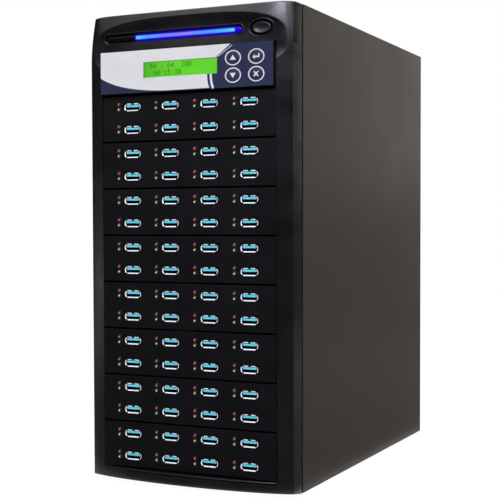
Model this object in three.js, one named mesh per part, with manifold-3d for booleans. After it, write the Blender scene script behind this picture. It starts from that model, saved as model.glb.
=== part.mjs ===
// A tower that copies one flash drive to many at once: a sheet steel case behind a moulded front,
// with a control panel above eight bays, each of which holds eight USB sockets.
// Millimetres. +X is to the right of someone who faces the front, +Y runs from front to back and +Z is up.
// While it is built, y is 0 at the face of the bays' faceplates and z is 0 on the floor.

import * as THREE from 'three';
import { mergeVertices } from 'three/addons/utils/BufferGeometryUtils.js';
import Module from 'manifold-3d';

const wasm = await Module();
wasm.setup();

// Case
const coverDepth = 346;
const coverFront = 24.8;
const sheet = 1;
const seatGap = 0.2;
const overrun = 6;
const weldDistance = 0.0001;

// Bays and the control panel above them
const bayCount = 8;
const bayPitch = 42.4;
const bayWidth = 173.6;
const baySeam = 1.6;
const firstBayHeight = 13.1;
const panelHeight = 39.6;
const faceThickness = 3;

// Moulded front: part of an ellipse in plan. From the side its belly leans forwards up to the sweep,
// where it goes back to a nearly straight edge at the top. Its underside rises towards the front.
const sideBorder = 15;
const headHeight = 34.1;
const bezelWall = 2.5;
const bezelDepth = 21.8;
const bowProud = 6.8;
const bowLean = 2.9;
const bowDepth = 10;
const bowShare = 0.95;
const hemHeight = 12;
const hemRise = 1.8;
const hemCornerRise = 0.8;
const sideFlare = 0.6;
const sideFlareEnd = 17;
const sweepHeight = 43;
const topSetback = 1.5;
const topCornerDepth = 10.3;
const topCornerPower = 10;
const topRounding = 1.4;
const bottomRounding = 0.8;
const bezelOpeningGap = 0.4;
const linerWall = 2;
const frontSteps = 22;
const cavitySteps = 10;
const sweepShares = [0, 0.25, 0.5, 0.72, 0.9];
const roundingShares = [0.5, 1];
const grooveUnderLedgeHeight = 1.2;
const grooveUnderLedgeDrop = 2.6;
const grooveUnderLedgeDepth = 1.2;
const grooveUnderLedgeInset = 24.8;
const grooveUnderLedgeReach = 0.2;

// Scoop above the control panel, which holds the light bar and the power button
const scoopMargin = 4.8;
const scoopRise = 28.5;
const scoopFall = 22;
const scoopDepth = 6;
const scoopPower = 3;
const scoopSteps = 24;
const scoopShares = [1.06, 0.97, 0.88, 0.7, 0.4];
const scoopSteepness = 3.2;
const backingSteps = 12;
const backingShares = [1.06, 0.7, 0.3];

// Light bar and the groove it lies in
const barFromSide = 18.8;
const barHeight = 4.2;
const barRise = 12.4;
const barFront = 1.8;
const barBack = 9;
const barFlange = 1.2;
const grooveMargin = 2.4;
const grooveFloor = 3.8;
const roundSteps = 5;

// Power button, its sleeve, and the board behind it
const buttonWidth = 18;
const buttonHeight = 10.4;
const barToButton = 20;
const buttonFromSide = 28.8;
const buttonRise = 12.3;
const buttonFront = 0.4;
const buttonCrown = 1.4;
const buttonTravel = 2;
const buttonSleeveWall = 1.6;
const buttonSleeveEnd = 11;
const buttonDishWidth = 22;
const buttonDishHeight = 13.6;
const buttonDishDepth = 3;
const runningGap = 0.3;
const switchBoardWidth = 34;
const switchBoardHeight = 18;
const boardThickness = 1.6;
const switchBodySize = 7;
const switchBodyDepth = 5.4;
const plungerSize = 3.4;
const plungerDepth = 1;
const ovalSteps = 16;
const crownWidthShares = [1, 0.96, 0.88, 0.7, 0.36];
const crownDepthShares = [1, 0.3, 0, 0.24, 0.6];

// Control panel: printed sheet over a faceplate, a display, four keys and their board.
// It stands further forward than the modules below it.
const panelProud = 4.5;
const panelRim = 2;
const overlayThickness = 0.5;
const overlayMargin = 0.5;
const displayFromSide = 45.6;
const displayHeight = 14;
const displayBelowTop = 18.4;
const displayFrameMargin = 5;
const displayFrameDepth = 6.5;
const displayGlassRise = 3;
const displayGlassGap = 0.3;
const displayBoardMargin = 4;
const keyFromSide = 16.3;
const keyFromDisplay = 15.5;
const keyColumnSpacing = 22.2;
const keyRowBelowTop = 12.9;
const keyRowSpacing = 15;
const keyWidth = 12.8;
const keyHeight = 11.6;
const keyProud = 0.3;
const keyTravel = 0.6;
const keyFlange = 0.9;
const keyFlangeDepth = 1;
const keyStemSize = 4;
const keyBoardFront = 7.5;
const keyBoardMargin = 6;
const tactSize = 5;
const tactDepth = 3.5;

// One USB module: sockets and status lights
const portColumns = 4;
const portRows = 2;
const columnMargin = 14.395;
const rowSpacing = 20.49;
const gridOffset = 3.3;
const portMouthWidth = 12.9;
const portMouthHeight = 5.2;
const portShellWall = 0.5;
const portFlareWidth = 17;
const portFlareHeight = 7.5;
const portLip = 0.5;
const portProud = 0.9;
const portFlareDepth = 1.5;
const portFloor = 1.2;
const tongueWidth = 11.7;
const tongueHeight = 1.9;
const tongueRise = 1;
const tongueInset = 1.2;
const windowGap = 0.4;
const lightDiameter = 2.3;
const lightProud = 0.5;
const lightOffset = 15;
const lightSpacing = 4.9;
const lightSides = 5;
const moduleBoardFront = 13;
const moduleBoardMargin = 3;
const plugWidth = 24;
const plugHeight = 8;
const plugDepth = 7;

// Trays behind the bays
const trayInset = 13.8;
const trayDepth = 120;
const trayWallHeight = 34;
const trayLift = 1.8;
const cheekThickness = 2;
const cheekHeight = 32;
const cheekDepth = 20;

// Drive cage and front plate
const cageDepth = 132;
const cageGap = 0.3;
const cageFlange = 11;
const railWidth = 5;
const railStart = 12;
const plateOpeningGap = 2;
const plateFlange = 10;
const flangeMargin = 15;

// Case plates
const baseFlangeHeight = 12;
const rearOverlap = 12;
const coverFrontFlange = 8;

// Feet
const footHeight = 3;
const footDiameter = 20;
const footTaper = 1.5;
const footInset = 28;
const footFromFront = 36;
const footFromBack = 30;
const footSides = 14;

// Thumb screws
const screwHeadDiameter = 9;
const screwHeadLength = 6;
const screwDiameter = 3.4;
const screwLength = 7;
const screwHoleGap = 0.25;
const screwFromBottom = 56;
const screwFromTop = 44;
const screwSides = 10;

// Power supply
const supplyWidth = 150;
const supplyHeight = 86;
const supplyDepth = 140;
const supplyFromTop = 12;
const supplyRim = 4;
const supplyFanFromSide = 46;
const inletFromSide = 27;

// Fans
const fanSize = 80;
const fanDepth = 25;
const fanBore = 76;
const fanHub = 31;
const fanHubDepth = 4;
const fanStrut = 4;
const fanShaft = 4;
const rotorHub = 30;
const rotorHubDepth = 14;
const rotorTip = 72;
const bladeCount = 7;
const bladeThickness = 1.6;
const bladeChord = 15;
const bladePitchDegrees = 38;
const boreDepth = 9;
const fanSides = 24;
const hubSides = 12;
const shaftSides = 8;
const ventSlots = 6;
const ventSlotShare = 0.6;
const ventDiameter = 72;
const rearFanHeight = 120;

// Mains inlet with its rocker switch
const inletWidth = 30;
const inletHeight = 54;
const inletFlange = 2;
const inletBodyWidth = 26.6;
const inletBodyHeight = 48;
const inletBodyDepth = 20;
const socketWidth = 24.4;
const socketHeight = 16.4;
const socketDepth = 15;
const socketRise = 13;
const socketCorner = 4.5;
const pinWidth = 2;
const pinHeight = 4;
const pinLength = 13;
const pinSpacing = 14;
const pinDrop = 2;
const earthRise = 2.4;
const rockerRise = -15.4;
const rockerWidth = 19;
const rockerHeight = 12.6;
const rockerWellDepth = 9;
const rockerThickness = 5;
const rockerTiltDegrees = 8;
const rockerArcShares = [1, 0.5, 0, -0.6];
const pivotDiameter = 3;
const pivotLength = 1.2;

// Places that follow from the sizes above
const caseBottom = footHeight;
const baysBottom = caseBottom + firstBayHeight;
const panelBottom = baysBottom + bayCount * bayPitch;
const panelTop = panelBottom + panelHeight;
const caseTop = panelTop + headHeight;
const caseHeight = caseTop - caseBottom;
const caseWidth = bayWidth + 2 * sideBorder;
const panelLevel = panelBottom + panelHeight / 2;
const bayLevels = Array.from({ length: bayCount }, (_, i) => panelBottom - (i + 1) * bayPitch + bayPitch / 2);
const bezelHalf = caseWidth / 2;
const coverBack = coverFront + coverDepth;
const plateFront = bezelDepth + runningGap;
const innerHalf = bezelHalf - sheet - seatGap;
const rearPanelBack = coverBack - sheet - seatGap;
const rearPanelFront = rearPanelBack - sheet;
const frontMost = panelProud + keyProud;
const frontReach = bezelDepth + bowProud;
const rearMost = coverBack + screwHeadLength;
const basePlateTop = caseBottom + sheet;
const roofBottom = caseTop - sheet;
const plateHigh = roofBottom - seatGap;
const plateLow = basePlateTop + seatGap;
const bayHalf = bayWidth / 2;
const trayHalf = bayHalf - trayInset;
const columnSpacing = 2 * (trayHalf - columnMargin) / (portColumns - 1);
const trayFront = moduleBoardFront + boardThickness + seatGap;
const cageInner = trayHalf + cageGap;
const cageFront = plateFront + sheet + seatGap;
const scoopLevel = panelTop - caseBottom;
const barLevel = panelTop + barRise;
const buttonLevel = panelTop + buttonRise;
const buttonCentre = bezelHalf - buttonFromSide;
const [barLeft, barRight] = [barFromSide - bezelHalf, buttonCentre - barToButton];
const barLength = barRight - barLeft;
const barCentre = (barLeft + barRight) / 2;
const scoopHalfWidth = bezelHalf - scoopMargin;
const farColumn = bayHalf - keyFromSide;
const nearColumn = farColumn - keyColumnSpacing;
const [displayLeft, displayRight] = [displayFromSide - bayHalf, nearColumn - keyFromDisplay];
const displayWidth = displayRight - displayLeft;
const displayCentre = (displayLeft + displayRight) / 2;
const supplyTop = roofBottom - supplyFromTop;
const supplyBack = rearPanelFront - seatGap;
const supplyLevel = supplyTop - supplyHeight / 2;
const supplyFanCentre = supplyFanFromSide - supplyWidth / 2;
const inletCentre = supplyWidth / 2 - inletFromSide;

// Solids

function solid(geometry) {
  geometry.deleteAttribute('normal');
  geometry.deleteAttribute('uv');
  const merged = mergeVertices(geometry, weldDistance);
  return new wasm.Manifold(new wasm.Mesh({
    numProp: 3,
    vertProperties: new Float32Array(merged.attributes.position.array),
    triVerts: new Uint32Array(merged.index.array),
  }));
}

function geometryOf(body) {
  const mesh = body.getMesh();
  const geometry = new THREE.BufferGeometry();
  geometry.setAttribute('position', new THREE.BufferAttribute(mesh.vertProperties, 3));
  geometry.setIndex(new THREE.BufferAttribute(mesh.triVerts, 1));
  geometry.computeVertexNormals();
  return geometry;
}

// The corners are set one by one, so that boxes with a common face share it exactly
function box([x0, x1], [y0, y1], [z0, z1]) {
  const geometry = new THREE.BoxGeometry(1, 1, 1);
  const { position } = geometry.attributes;
  for (let i = 0; i < position.count; i += 1) {
    position.setXYZ(i, position.getX(i) > 0 ? x1 : x0, position.getY(i) > 0 ? y1 : y0,
      position.getZ(i) > 0 ? z1 : z0);
  }
  return solid(geometry);
}

function span(centre, length) {
  return [centre - length / 2, centre + length / 2];
}

// A body through a row of rings that have the same number of points
function loft(rings) {
  const count = rings[0].length;
  const index = [];
  for (let level = 0; level + 1 < rings.length; level += 1) {
    for (let i = 0; i < count; i += 1) {
      const a = level * count + i;
      const b = level * count + (i + 1) % count;
      index.push(a, b, b + count, a, b + count, a + count);
    }
  }
  const last = (rings.length - 1) * count;
  for (let i = 1; i + 1 < count; i += 1) {
    index.push(0, i + 1, i, last, last + i, last + i + 1);
  }
  const points = rings.flat();
  const volume = index.reduce((sum, first, i) => {
    if (i % 3) return sum;
    const [a, b, c] = [first, index[i + 1], index[i + 2]].map((n) => new THREE.Vector3(...points[n]));
    return sum + a.dot(b.cross(c));
  }, 0);
  if (volume < 0) index.reverse();
  const geometry = new THREE.BufferGeometry();
  geometry.setAttribute('position', new THREE.Float32BufferAttribute(points.flat(), 3));
  geometry.setIndex(index);
  return solid(geometry);
}

function ovalRing(width, height, x, y, z, sides) {
  return Array.from({ length: sides }, (_, i) => {
    const angle = 2 * Math.PI * (i + 0.5) / sides;
    return [x + width / 2 * Math.cos(angle), y, z + height / 2 * Math.sin(angle)];
  });
}

// A cylinder along Y, oval where its width and height differ
function oval(width, height, depths, x, z, sides) {
  return loft(depths.map((y) => ovalRing(width, height, x, y, z, sides)));
}

function round(diameter, depths, x, z, sides) {
  return oval(diameter, diameter, depths, x, z, sides);
}

// An outline in X and Z, run back along Y
function prism(shape, [y0, y1], steps = 1) {
  const settings = { depth: y1 - y0, bevelEnabled: false, curveSegments: steps };
  const geometry = new THREE.ExtrudeGeometry(shape, settings);
  geometry.rotateX(Math.PI / 2);
  geometry.translate(0, y1, 0);
  return solid(geometry);
}

function outline(points) {
  return new THREE.Shape(points.map(([x, z]) => new THREE.Vector2(x, z)));
}

function stadium(length, height, x, z) {
  const half = length / 2 - height / 2;
  const shape = new THREE.Shape();
  shape.absarc(x + half, z, height / 2, -Math.PI / 2, Math.PI / 2);
  shape.absarc(x - half, z, height / 2, Math.PI / 2, 3 * Math.PI / 2);
  return shape;
}

function join(bodies) {
  return bodies.reduce((sum, body) => sum.add(body));
}

const duplicator = new THREE.Group();

function piece(name, body, color, roughness, metalness = 0) {
  const material = new THREE.MeshStandardMaterial({ color, roughness, metalness });
  const mesh = new THREE.Mesh(geometryOf(body), material);
  mesh.name = name;
  duplicator.add(mesh);
}

// Moulded front

function frontFace(reachShare, height) {
  const reach = Math.min(Math.abs(reachShare), 1);
  const sweepStart = caseHeight - sweepHeight;
  const sweep = Math.max(0, (height - sweepStart) / sweepHeight) ** 2;
  const lean = bowLean * Math.max(0, 1 - height / sweepStart);
  const bow = (1 - Math.sqrt(1 - (bowShare * reach) ** 2)) / (1 - Math.sqrt(1 - bowShare ** 2));
  const low = bowDepth * bow - bowProud + lean;
  const top = topSetback + topCornerDepth * (1 - Math.sqrt(1 - reach ** topCornerPower));
  return low + (top - low) * sweep;
}

// How far the front's lower edge lies above the case's, for a ring at this height
function hem(reachShare, height) {
  return (hemRise + hemCornerRise * reachShare ** 2) * Math.max(0, 1 - height / hemHeight);
}

function bezelRing(height, inset, back, steps = frontSteps) {
  const half = bezelHalf - inset;
  const frontHalf = half - sideFlare;
  const z = caseBottom + height;
  const sideFront = frontFace(1, height) + inset;
  const sideRise = hem(1, height) * (bezelDepth - sideFlareEnd) / (bezelDepth - sideFront);
  const ring = [[-half, back, z], [-half, sideFlareEnd, z + sideRise]];
  for (let i = 0; i <= steps; i += 1) {
    const reachShare = Math.sin((i / steps - 0.5) * Math.PI);
    ring.push([frontHalf * reachShare, frontFace(reachShare, height) + inset, z + hem(reachShare, height)]);
  }
  ring.push([half, sideFlareEnd, z + sideRise], [half, back, z]);
  return ring;
}

function bezelBody() {
  const sweepStart = caseHeight - sweepHeight;
  const rings = [bezelRing(0, bottomRounding, bezelDepth), bezelRing(bottomRounding, 0, bezelDepth)];
  rings.push(bezelRing(hemHeight, 0, bezelDepth));
  sweepShares.forEach((share) => rings.push(bezelRing(sweepStart + share * sweepHeight, 0, bezelDepth)));
  roundingShares.forEach((share) => {
    const angle = share * Math.PI / 2;
    const height = caseHeight - topRounding * (1 - Math.sin(angle));
    rings.push(bezelRing(height, topRounding * (1 - Math.cos(angle)), bezelDepth));
  });
  return loft(rings);
}

function bezelCavity() {
  const back = bezelDepth + overrun;
  const top = caseHeight - bezelWall;
  const sweepStart = caseHeight - sweepHeight;
  const levels = [bezelWall, hemHeight, sweepStart];
  sweepShares.slice(1).forEach((share) => levels.push(sweepStart + share * (top - sweepStart)));
  levels.push(top);
  return loft(levels.map((height) => bezelRing(height, bezelWall, back, cavitySteps)));
}

// The scoop's floor is deepest at its middle and meets the front face along an arch
function scoopRing(share, depth, steps) {
  const ring = [];
  for (let i = 0; i < steps; i += 1) {
    const angle = 2 * Math.PI * i / steps;
    const across = Math.sign(Math.cos(angle)) * Math.abs(Math.cos(angle)) ** (2 / scoopPower);
    const up = Math.sign(Math.sin(angle)) * Math.abs(Math.sin(angle)) ** (2 / scoopPower);
    const x = scoopHalfWidth * share * across;
    const height = scoopLevel + (up > 0 ? scoopRise : scoopFall) * share * up;
    ring.push([x, depth(x / bezelHalf, height), caseBottom + height]);
  }
  return ring;
}

function scoopBody(setback, shares, steps) {
  const rings = [scoopRing(shares[0], () => -frontReach, steps)];
  shares.forEach((share) => {
    const depth = scoopDepth * (1 - share ** scoopSteepness) + setback;
    rings.push(scoopRing(share, (reachShare, height) => frontFace(reachShare, height) + depth, steps));
  });
  return loft(rings);
}

function buttonDish(grow, depths) {
  return oval(buttonDishWidth + grow, buttonDishHeight + grow, depths, buttonCentre, buttonLevel, ovalSteps);
}

function buttonHole(grow, depths) {
  return oval(buttonWidth + grow, buttonHeight + grow, depths, buttonCentre, buttonLevel, ovalSteps);
}

// Countersink that narrows from the dish's rim to the button's hole
function buttonCountersink() {
  const rim = (width, height, y) => ovalRing(width, height, buttonCentre, y, buttonLevel, ovalSteps);
  const front = buttonFront - buttonDishDepth;
  const floor = buttonFront + buttonDishDepth;
  const spread = 2 * buttonDishDepth;
  return loft([
    rim(buttonDishWidth + spread, buttonDishHeight + spread, front - overrun),
    rim(buttonDishWidth, buttonDishHeight, buttonFront),
    rim(buttonWidth + 2 * runningGap, buttonHeight + 2 * runningGap, floor),
  ]);
}

function frontBezel() {
  const openingHalf = bayHalf + bezelOpeningGap;
  const openingLevels = [baysBottom - bezelOpeningGap, panelTop + bezelOpeningGap];
  const linerLevels = [openingLevels[0] - linerWall, openingLevels[1] + linerWall];
  const linerHalf = openingHalf + linerWall;
  const through = [-frontReach, bezelDepth + overrun];
  const behind = [-bowProud, bezelDepth];
  const backing = join([
    scoopBody(bezelWall, backingShares, backingSteps),
    prism(stadium(barLength + 3 * grooveMargin, barHeight + 3 * grooveMargin, barCentre, barLevel),
      [-bowProud, grooveFloor + bezelWall], roundSteps),
    buttonDish(buttonSleeveWall, [-bowProud, buttonFront + buttonDishDepth + bezelWall]),
    buttonHole(2 * (runningGap + buttonSleeveWall), [-bowProud, buttonSleeveEnd]),
    box([-linerHalf, linerHalf], behind, linerLevels),
  ]);
  const hollow = bezelCavity().subtract(backing);
  const underLedge = baysBottom - bezelOpeningGap - grooveUnderLedgeDrop;
  const ledgeCore = [0, baysBottom]
    .map((height) => bezelRing(height, grooveUnderLedgeDepth, bezelDepth, cavitySteps));
  const ledgeGroove = box([grooveUnderLedgeInset - bayHalf, bayHalf + grooveUnderLedgeReach],
    [-frontReach, bezelDepth - overrun], [underLedge, underLedge + grooveUnderLedgeHeight])
    .subtract(loft(ledgeCore));
  const body = bezelBody()
    .subtract(hollow)
    .subtract(scoopBody(0, scoopShares, scoopSteps))
    .subtract(ledgeGroove)
    .subtract(box([-openingHalf, openingHalf], through, openingLevels))
    .subtract(prism(stadium(barLength + 2 * grooveMargin, barHeight + 2 * grooveMargin, barCentre, barLevel),
      [-frontReach, grooveFloor], roundSteps))
    .subtract(prism(stadium(barLength + 2 * seatGap, barHeight + 2 * seatGap, barCentre, barLevel),
      [-frontReach, bezelDepth], roundSteps))
    .subtract(buttonCountersink())
    .subtract(buttonHole(2 * runningGap, [-frontReach, bezelDepth]));
  piece('front_bezel', body, 0x1a1a1c, 0.38);
}

function lightBar() {
  const flangeFront = grooveFloor + bezelWall + seatGap;
  const body = prism(stadium(barLength, barHeight, barCentre, barLevel), [barFront, barBack], roundSteps)
    .add(prism(stadium(barLength + 2 * barFlange, barHeight + 2 * barFlange, barCentre, barLevel),
      [flangeFront, barBack], roundSteps));
  piece('light_bar', body, 0x4a7dff, 0.25);
}

function powerButton() {
  const boardFront = bezelDepth - boardThickness;
  const back = boardFront - switchBodyDepth - plungerDepth - buttonTravel - runningGap;
  const rim = (share, y) => ovalRing(buttonWidth * share, buttonHeight * share, buttonCentre, y, buttonLevel,
    ovalSteps);
  const crown = crownWidthShares.map((share, i) => rim(share, buttonFront + buttonCrown * crownDepthShares[i]));
  piece('power_button', loft([rim(1, back), ...crown]), 0x2a2a2e, 0.3);
}

function powerSwitchBoard() {
  const boardFront = bezelDepth - boardThickness;
  const bodyFront = boardFront - switchBodyDepth;
  const body = join([
    box(span(buttonCentre, switchBoardWidth), [boardFront, bezelDepth], span(buttonLevel, switchBoardHeight)),
    box(span(buttonCentre, switchBodySize), [bodyFront, boardFront + seatGap],
      span(buttonLevel, switchBodySize)),
    box(span(buttonCentre, plungerSize), [bodyFront - plungerDepth, bodyFront + seatGap],
      span(buttonLevel, plungerSize)),
  ]);
  piece('power_switch_board', body, 0x1d5a34, 0.6);
}

// Control panel

const faceFront = overlayThickness + seatGap - panelProud;
const faceBack = faceFront + faceThickness;
const displayLevel = panelTop - displayBelowTop;
const upperRow = panelTop - keyRowBelowTop;
const keys = [
  { name: 'up_key', x: nearColumn, z: upperRow },
  { name: 'down_key', x: nearColumn, z: upperRow - keyRowSpacing },
  { name: 'enter_key', x: farColumn, z: upperRow },
  { name: 'escape_key', x: farColumn, z: upperRow - keyRowSpacing },
];

// Two walls behind a faceplate, one each side of its tray
function cheeks(level, front) {
  const inner = trayHalf + seatGap;
  const outer = inner + cheekThickness;
  const depths = [front, faceThickness + cheekDepth];
  const levels = span(level, cheekHeight);
  return box([-outer, -inner], depths, levels).add(box([inner, outer], depths, levels));
}

function panelPlate([front, back], margin) {
  const levels = [panelBottom + baySeam / 2 + margin, panelTop - margin];
  return box(span(0, bayWidth - 2 * margin), [front, back], levels);
}

function controlFaceplate() {
  const displayHole = box(span(displayCentre, displayWidth), [-overrun, faceBack + overrun],
    span(displayLevel, displayHeight));
  const keyHoles = keys.map(({ x, z }) => oval(keyWidth + 2 * runningGap, keyHeight + 2 * runningGap,
    [-overrun, faceBack + overrun], x, z, ovalSteps));
  const reliefDepths = [faceBack, faceBack + seatGap + keyFlangeDepth + keyTravel + runningGap];
  const reliefs = keys.map(({ x, z }) => box(span(x, keyWidth + 2 * keyFlange + 2 * runningGap), reliefDepths,
    span(z, keyStemSize + 2 * runningGap)));
  const body = panelPlate([faceFront, faceThickness], 0)
    .subtract(panelPlate([faceBack, faceThickness + overrun], panelRim))
    .add(cheeks(panelLevel, faceBack - seatGap))
    .subtract(join([displayHole, ...keyHoles, ...reliefs]));
  piece('control_faceplate', body, 0x18181a, 0.45);
}

function panelOverlay() {
  const keyHoles = keys.map(({ x, z }) => oval(keyWidth + 2 * runningGap, keyHeight + 2 * runningGap,
    [-overrun, overrun], x, z, ovalSteps));
  const body = panelPlate([-panelProud, overlayThickness - panelProud], overlayMargin).subtract(join(keyHoles));
  piece('panel_overlay', body, 0xdcdce0, 0.35);
}

// The display's glass stands in the faceplate's window, close behind the sheet
function displayModule() {
  const front = faceBack + seatGap;
  const back = front + displayFrameDepth;
  const width = displayWidth + 2 * displayFrameMargin;
  const height = displayHeight + 2 * displayFrameMargin;
  const frame = box(span(displayCentre, width), [front, back], span(displayLevel, height))
    .add(box(span(displayCentre, displayWidth - 2 * displayGlassGap), [front - displayGlassRise, back],
      span(displayLevel, displayHeight - 2 * displayGlassGap)));
  const board = box(span(displayCentre, width + 2 * displayBoardMargin),
    [back - seatGap, back + boardThickness],
    span(displayLevel, height + 2 * displayBoardMargin));
  piece('display_module', frame.add(board), 0x5bd42a, 0.4);
}

function keyCaps() {
  const tactFront = keyBoardFront - tactDepth;
  const flangeFront = faceBack + seatGap;
  keys.forEach(({ name, x, z }) => {
    const body = join([
      oval(keyWidth, keyHeight, [-panelProud - keyProud, flangeFront + keyFlangeDepth], x, z, ovalSteps),
      box(span(x, keyWidth + 2 * keyFlange), [flangeFront, flangeFront + keyFlangeDepth], span(z, keyStemSize)),
      box(span(x, keyStemSize), [flangeFront, tactFront - keyTravel - runningGap], span(z, keyStemSize)),
    ]);
    piece(name, body, 0x2a2d40, 0.4);
  });
}

function keyBoard() {
  const left = displayRight + displayFrameMargin + displayBoardMargin + seatGap;
  const levels = [panelBottom + keyBoardMargin, panelTop - keyBoardMargin / 2];
  const switches = keys.map(({ x, z }) => box(span(x, tactSize),
    [keyBoardFront - tactDepth, keyBoardFront + seatGap], span(z, tactSize)));
  const board = box([left, trayHalf], [keyBoardFront, keyBoardFront + boardThickness], levels);
  piece('key_board', join([board, ...switches]), 0x1d5a34, 0.6);
}

// USB modules

const columns = Array.from({ length: portColumns },
  (_, i) => gridOffset + (i - (portColumns - 1) / 2) * columnSpacing);
const rows = Array.from({ length: portRows }, (_, i) => (i - (portRows - 1) / 2) * rowSpacing);

function rectangle(width, height, x, y, z) {
  return [[-1, -1], [1, -1], [1, 1], [-1, 1]].map(([i, j]) => [x + i * width / 2, y, z + j * height / 2]);
}

// A drawn steel shell with a flared mouth, and the tongue that carries the contacts
function port(x, z) {
  const shellWidth = portMouthWidth + 2 * portShellWall;
  const shellHeight = portMouthHeight + 2 * portShellWall;
  const mouth = -portProud;
  const throat = portFlareDepth - portProud;
  const floor = moduleBoardFront - portFloor;
  const shell = loft([
    rectangle(shellWidth, shellHeight, x, moduleBoardFront + seatGap, z),
    rectangle(shellWidth, shellHeight, x, throat, z),
    rectangle(portFlareWidth, portFlareHeight, x, mouth, z),
    rectangle(portFlareWidth - 2 * portLip, portFlareHeight - 2 * portLip, x, mouth, z),
    rectangle(portMouthWidth, portMouthHeight, x, throat, z),
    rectangle(portMouthWidth, portMouthHeight, x, floor, z),
  ]);
  const tongue = box(span(x, tongueWidth), [tongueInset, floor + seatGap], span(z + tongueRise, tongueHeight));
  return shell.add(tongue);
}

function moduleFaceplate(number, level) {
  const height = bayPitch - baySeam;
  const plate = box(span(0, bayWidth), [0, faceThickness], span(level, height))
    .add(cheeks(level, faceThickness - seatGap));
  const windowWidth = portFlareWidth + 2 * windowGap;
  const windowHeight = portFlareHeight + 2 * windowGap;
  const windows = [];
  const lights = [];
  rows.forEach((up) => columns.forEach((x) => {
    windows.push(box(span(x, windowWidth), [-overrun, faceThickness + overrun],
      span(level + up, windowHeight)));
    [1, -1].forEach((side) => lights.push(round(lightDiameter, [-lightProud, faceThickness / 2],
      x - lightOffset, level + up + side * lightSpacing / 2, lightSides)));
  }));
  const body = plate.subtract(join(windows)).add(join(lights));
  piece(`module_${number}_faceplate`, body, 0x0f0f11, 0.5);
}

function moduleBoard(number, level) {
  const height = bayPitch - baySeam - 2 * moduleBoardMargin;
  const back = moduleBoardFront + boardThickness;
  const board = box([-trayHalf, trayHalf], [moduleBoardFront, back], span(level, height));
  const plug = box(span(0, plugWidth), [back - seatGap, back + plugDepth], span(level, plugHeight));
  const ports = rows.flatMap((up) => columns.map((x) => port(x, level + up)));
  piece(`module_${number}_board`, join([board, plug, ...ports]), 0xc8cacc, 0.3, 0.6);
}

function trayFloor(level) {
  return level - (bayPitch - baySeam) / 2 + trayLift;
}

function tray(name, level) {
  const low = trayFloor(level);
  const high = low + trayWallHeight;
  const inner = trayHalf - sheet;
  const section = outline([
    [-trayHalf, low], [trayHalf, low], [trayHalf, high], [inner, high],
    [inner, low + sheet], [-inner, low + sheet], [-inner, high], [-trayHalf, high],
  ]);
  piece(name, prism(section, [trayFront, trayFront + trayDepth]), 0x8d9094, 0.45, 0.8);
}

function usbModules() {
  bayLevels.forEach((level, i) => {
    moduleFaceplate(i + 1, level);
    moduleBoard(i + 1, level);
    tray(`module_${i + 1}_tray`, level);
  });
}

// Controller behind the control panel

const controllerBoardLift = 4;
const controllerBoardMargin = 5;
const controllerBoardDepth = 106;
const controllerBoardInset = 6;
const sinkSize = 34;
const sinkFins = 6;
const sinkHeight = 12;
const sinkBase = 3;
const sinkFinShare = 0.4;
const socketRowWidth = 70;
const socketRowDepth = 8;
const socketRowHeight = 9;

function controller() {
  tray('controller_tray', panelLevel);
  const low = trayFloor(panelLevel);
  const front = trayFront + controllerBoardInset;
  const boardLow = low + sheet + controllerBoardLift;
  const boardHigh = boardLow + boardThickness;
  const centre = front + controllerBoardDepth / 2;
  const half = trayHalf - controllerBoardMargin;
  const pitch = sinkSize / sinkFins;
  const fins = Array.from({ length: sinkFins }, (_, i) => box(
    span((i - (sinkFins - 1) / 2) * pitch, pitch * sinkFinShare), span(centre, sinkSize),
    [boardHigh, boardHigh + sinkHeight]));
  const standoffs = [-1, 1].flatMap((i) => [-1, 1].map((j) => box(
    span(i * (half - controllerBoardInset), controllerBoardInset),
    span(centre + j * (controllerBoardDepth / 2 - controllerBoardInset), controllerBoardInset),
    [low + sheet + seatGap, boardLow + seatGap])));
  const body = join([
    box([-half, half], span(centre, controllerBoardDepth), [boardLow, boardHigh]),
    box(span(0, sinkSize), span(centre, sinkSize), [boardHigh - seatGap, boardHigh + sinkBase]),
    box(span(0, socketRowWidth), [front + controllerBoardDepth - socketRowDepth, front + controllerBoardDepth],
      [boardHigh - seatGap, boardHigh + socketRowHeight]),
    ...fins,
    ...standoffs,
  ]);
  piece('controller_board', body, 0x1d5a34, 0.6);
}

// Chassis

function driveCage() {
  const depths = [cageFront, cageFront + cageDepth];
  const outer = cageInner + sheet;
  [['drive_cage_left', -1], ['drive_cage_right', 1]].forEach(([name, side]) => {
    const across = (near, far) => [side * near, side * far].sort((a, b) => a - b);
    const parts = [
      box(across(cageInner, outer), depths, [plateLow, panelTop]),
      box(across(cageInner, outer + cageFlange), [cageFront, cageFront + sheet], [plateLow, panelTop]),
      box(across(cageInner, outer + cageFlange), depths, [plateLow, plateLow + sheet]),
    ];
    const railDepths = [cageFront + railStart, cageFront + trayDepth - railStart];
    const rails = [panelLevel, ...bayLevels].map((level) => box(across(trayHalf - railWidth, outer), railDepths,
      [trayFloor(level) - seatGap - sheet, trayFloor(level) - seatGap]));
    piece(name, join([...parts, ...rails]), 0x8d9094, 0.45, 0.8);
  });
}

function chassisFront() {
  const half = trayHalf + seatGap + cheekThickness + plateOpeningGap;
  const plateDepths = [plateFront, plateFront + sheet];
  const flangeDepths = [plateFront, plateFront + plateFlange];
  const flangeLevels = [caseBottom + baseFlangeHeight + flangeMargin,
    caseTop - baseFlangeHeight - flangeMargin];
  const body = join([
    box([-innerHalf, innerHalf], plateDepths, [plateLow, plateHigh]),
    box([-innerHalf, sheet - innerHalf], flangeDepths, flangeLevels),
    box([innerHalf - sheet, innerHalf], flangeDepths, flangeLevels),
  ]).subtract(box([-half, half], [plateFront - overrun, plateFront + overrun],
    [baysBottom - bezelOpeningGap, panelTop + bezelOpeningGap]));
  piece('chassis_front', body, 0x2a2a2c, 0.5, 0.5);
}

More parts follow.
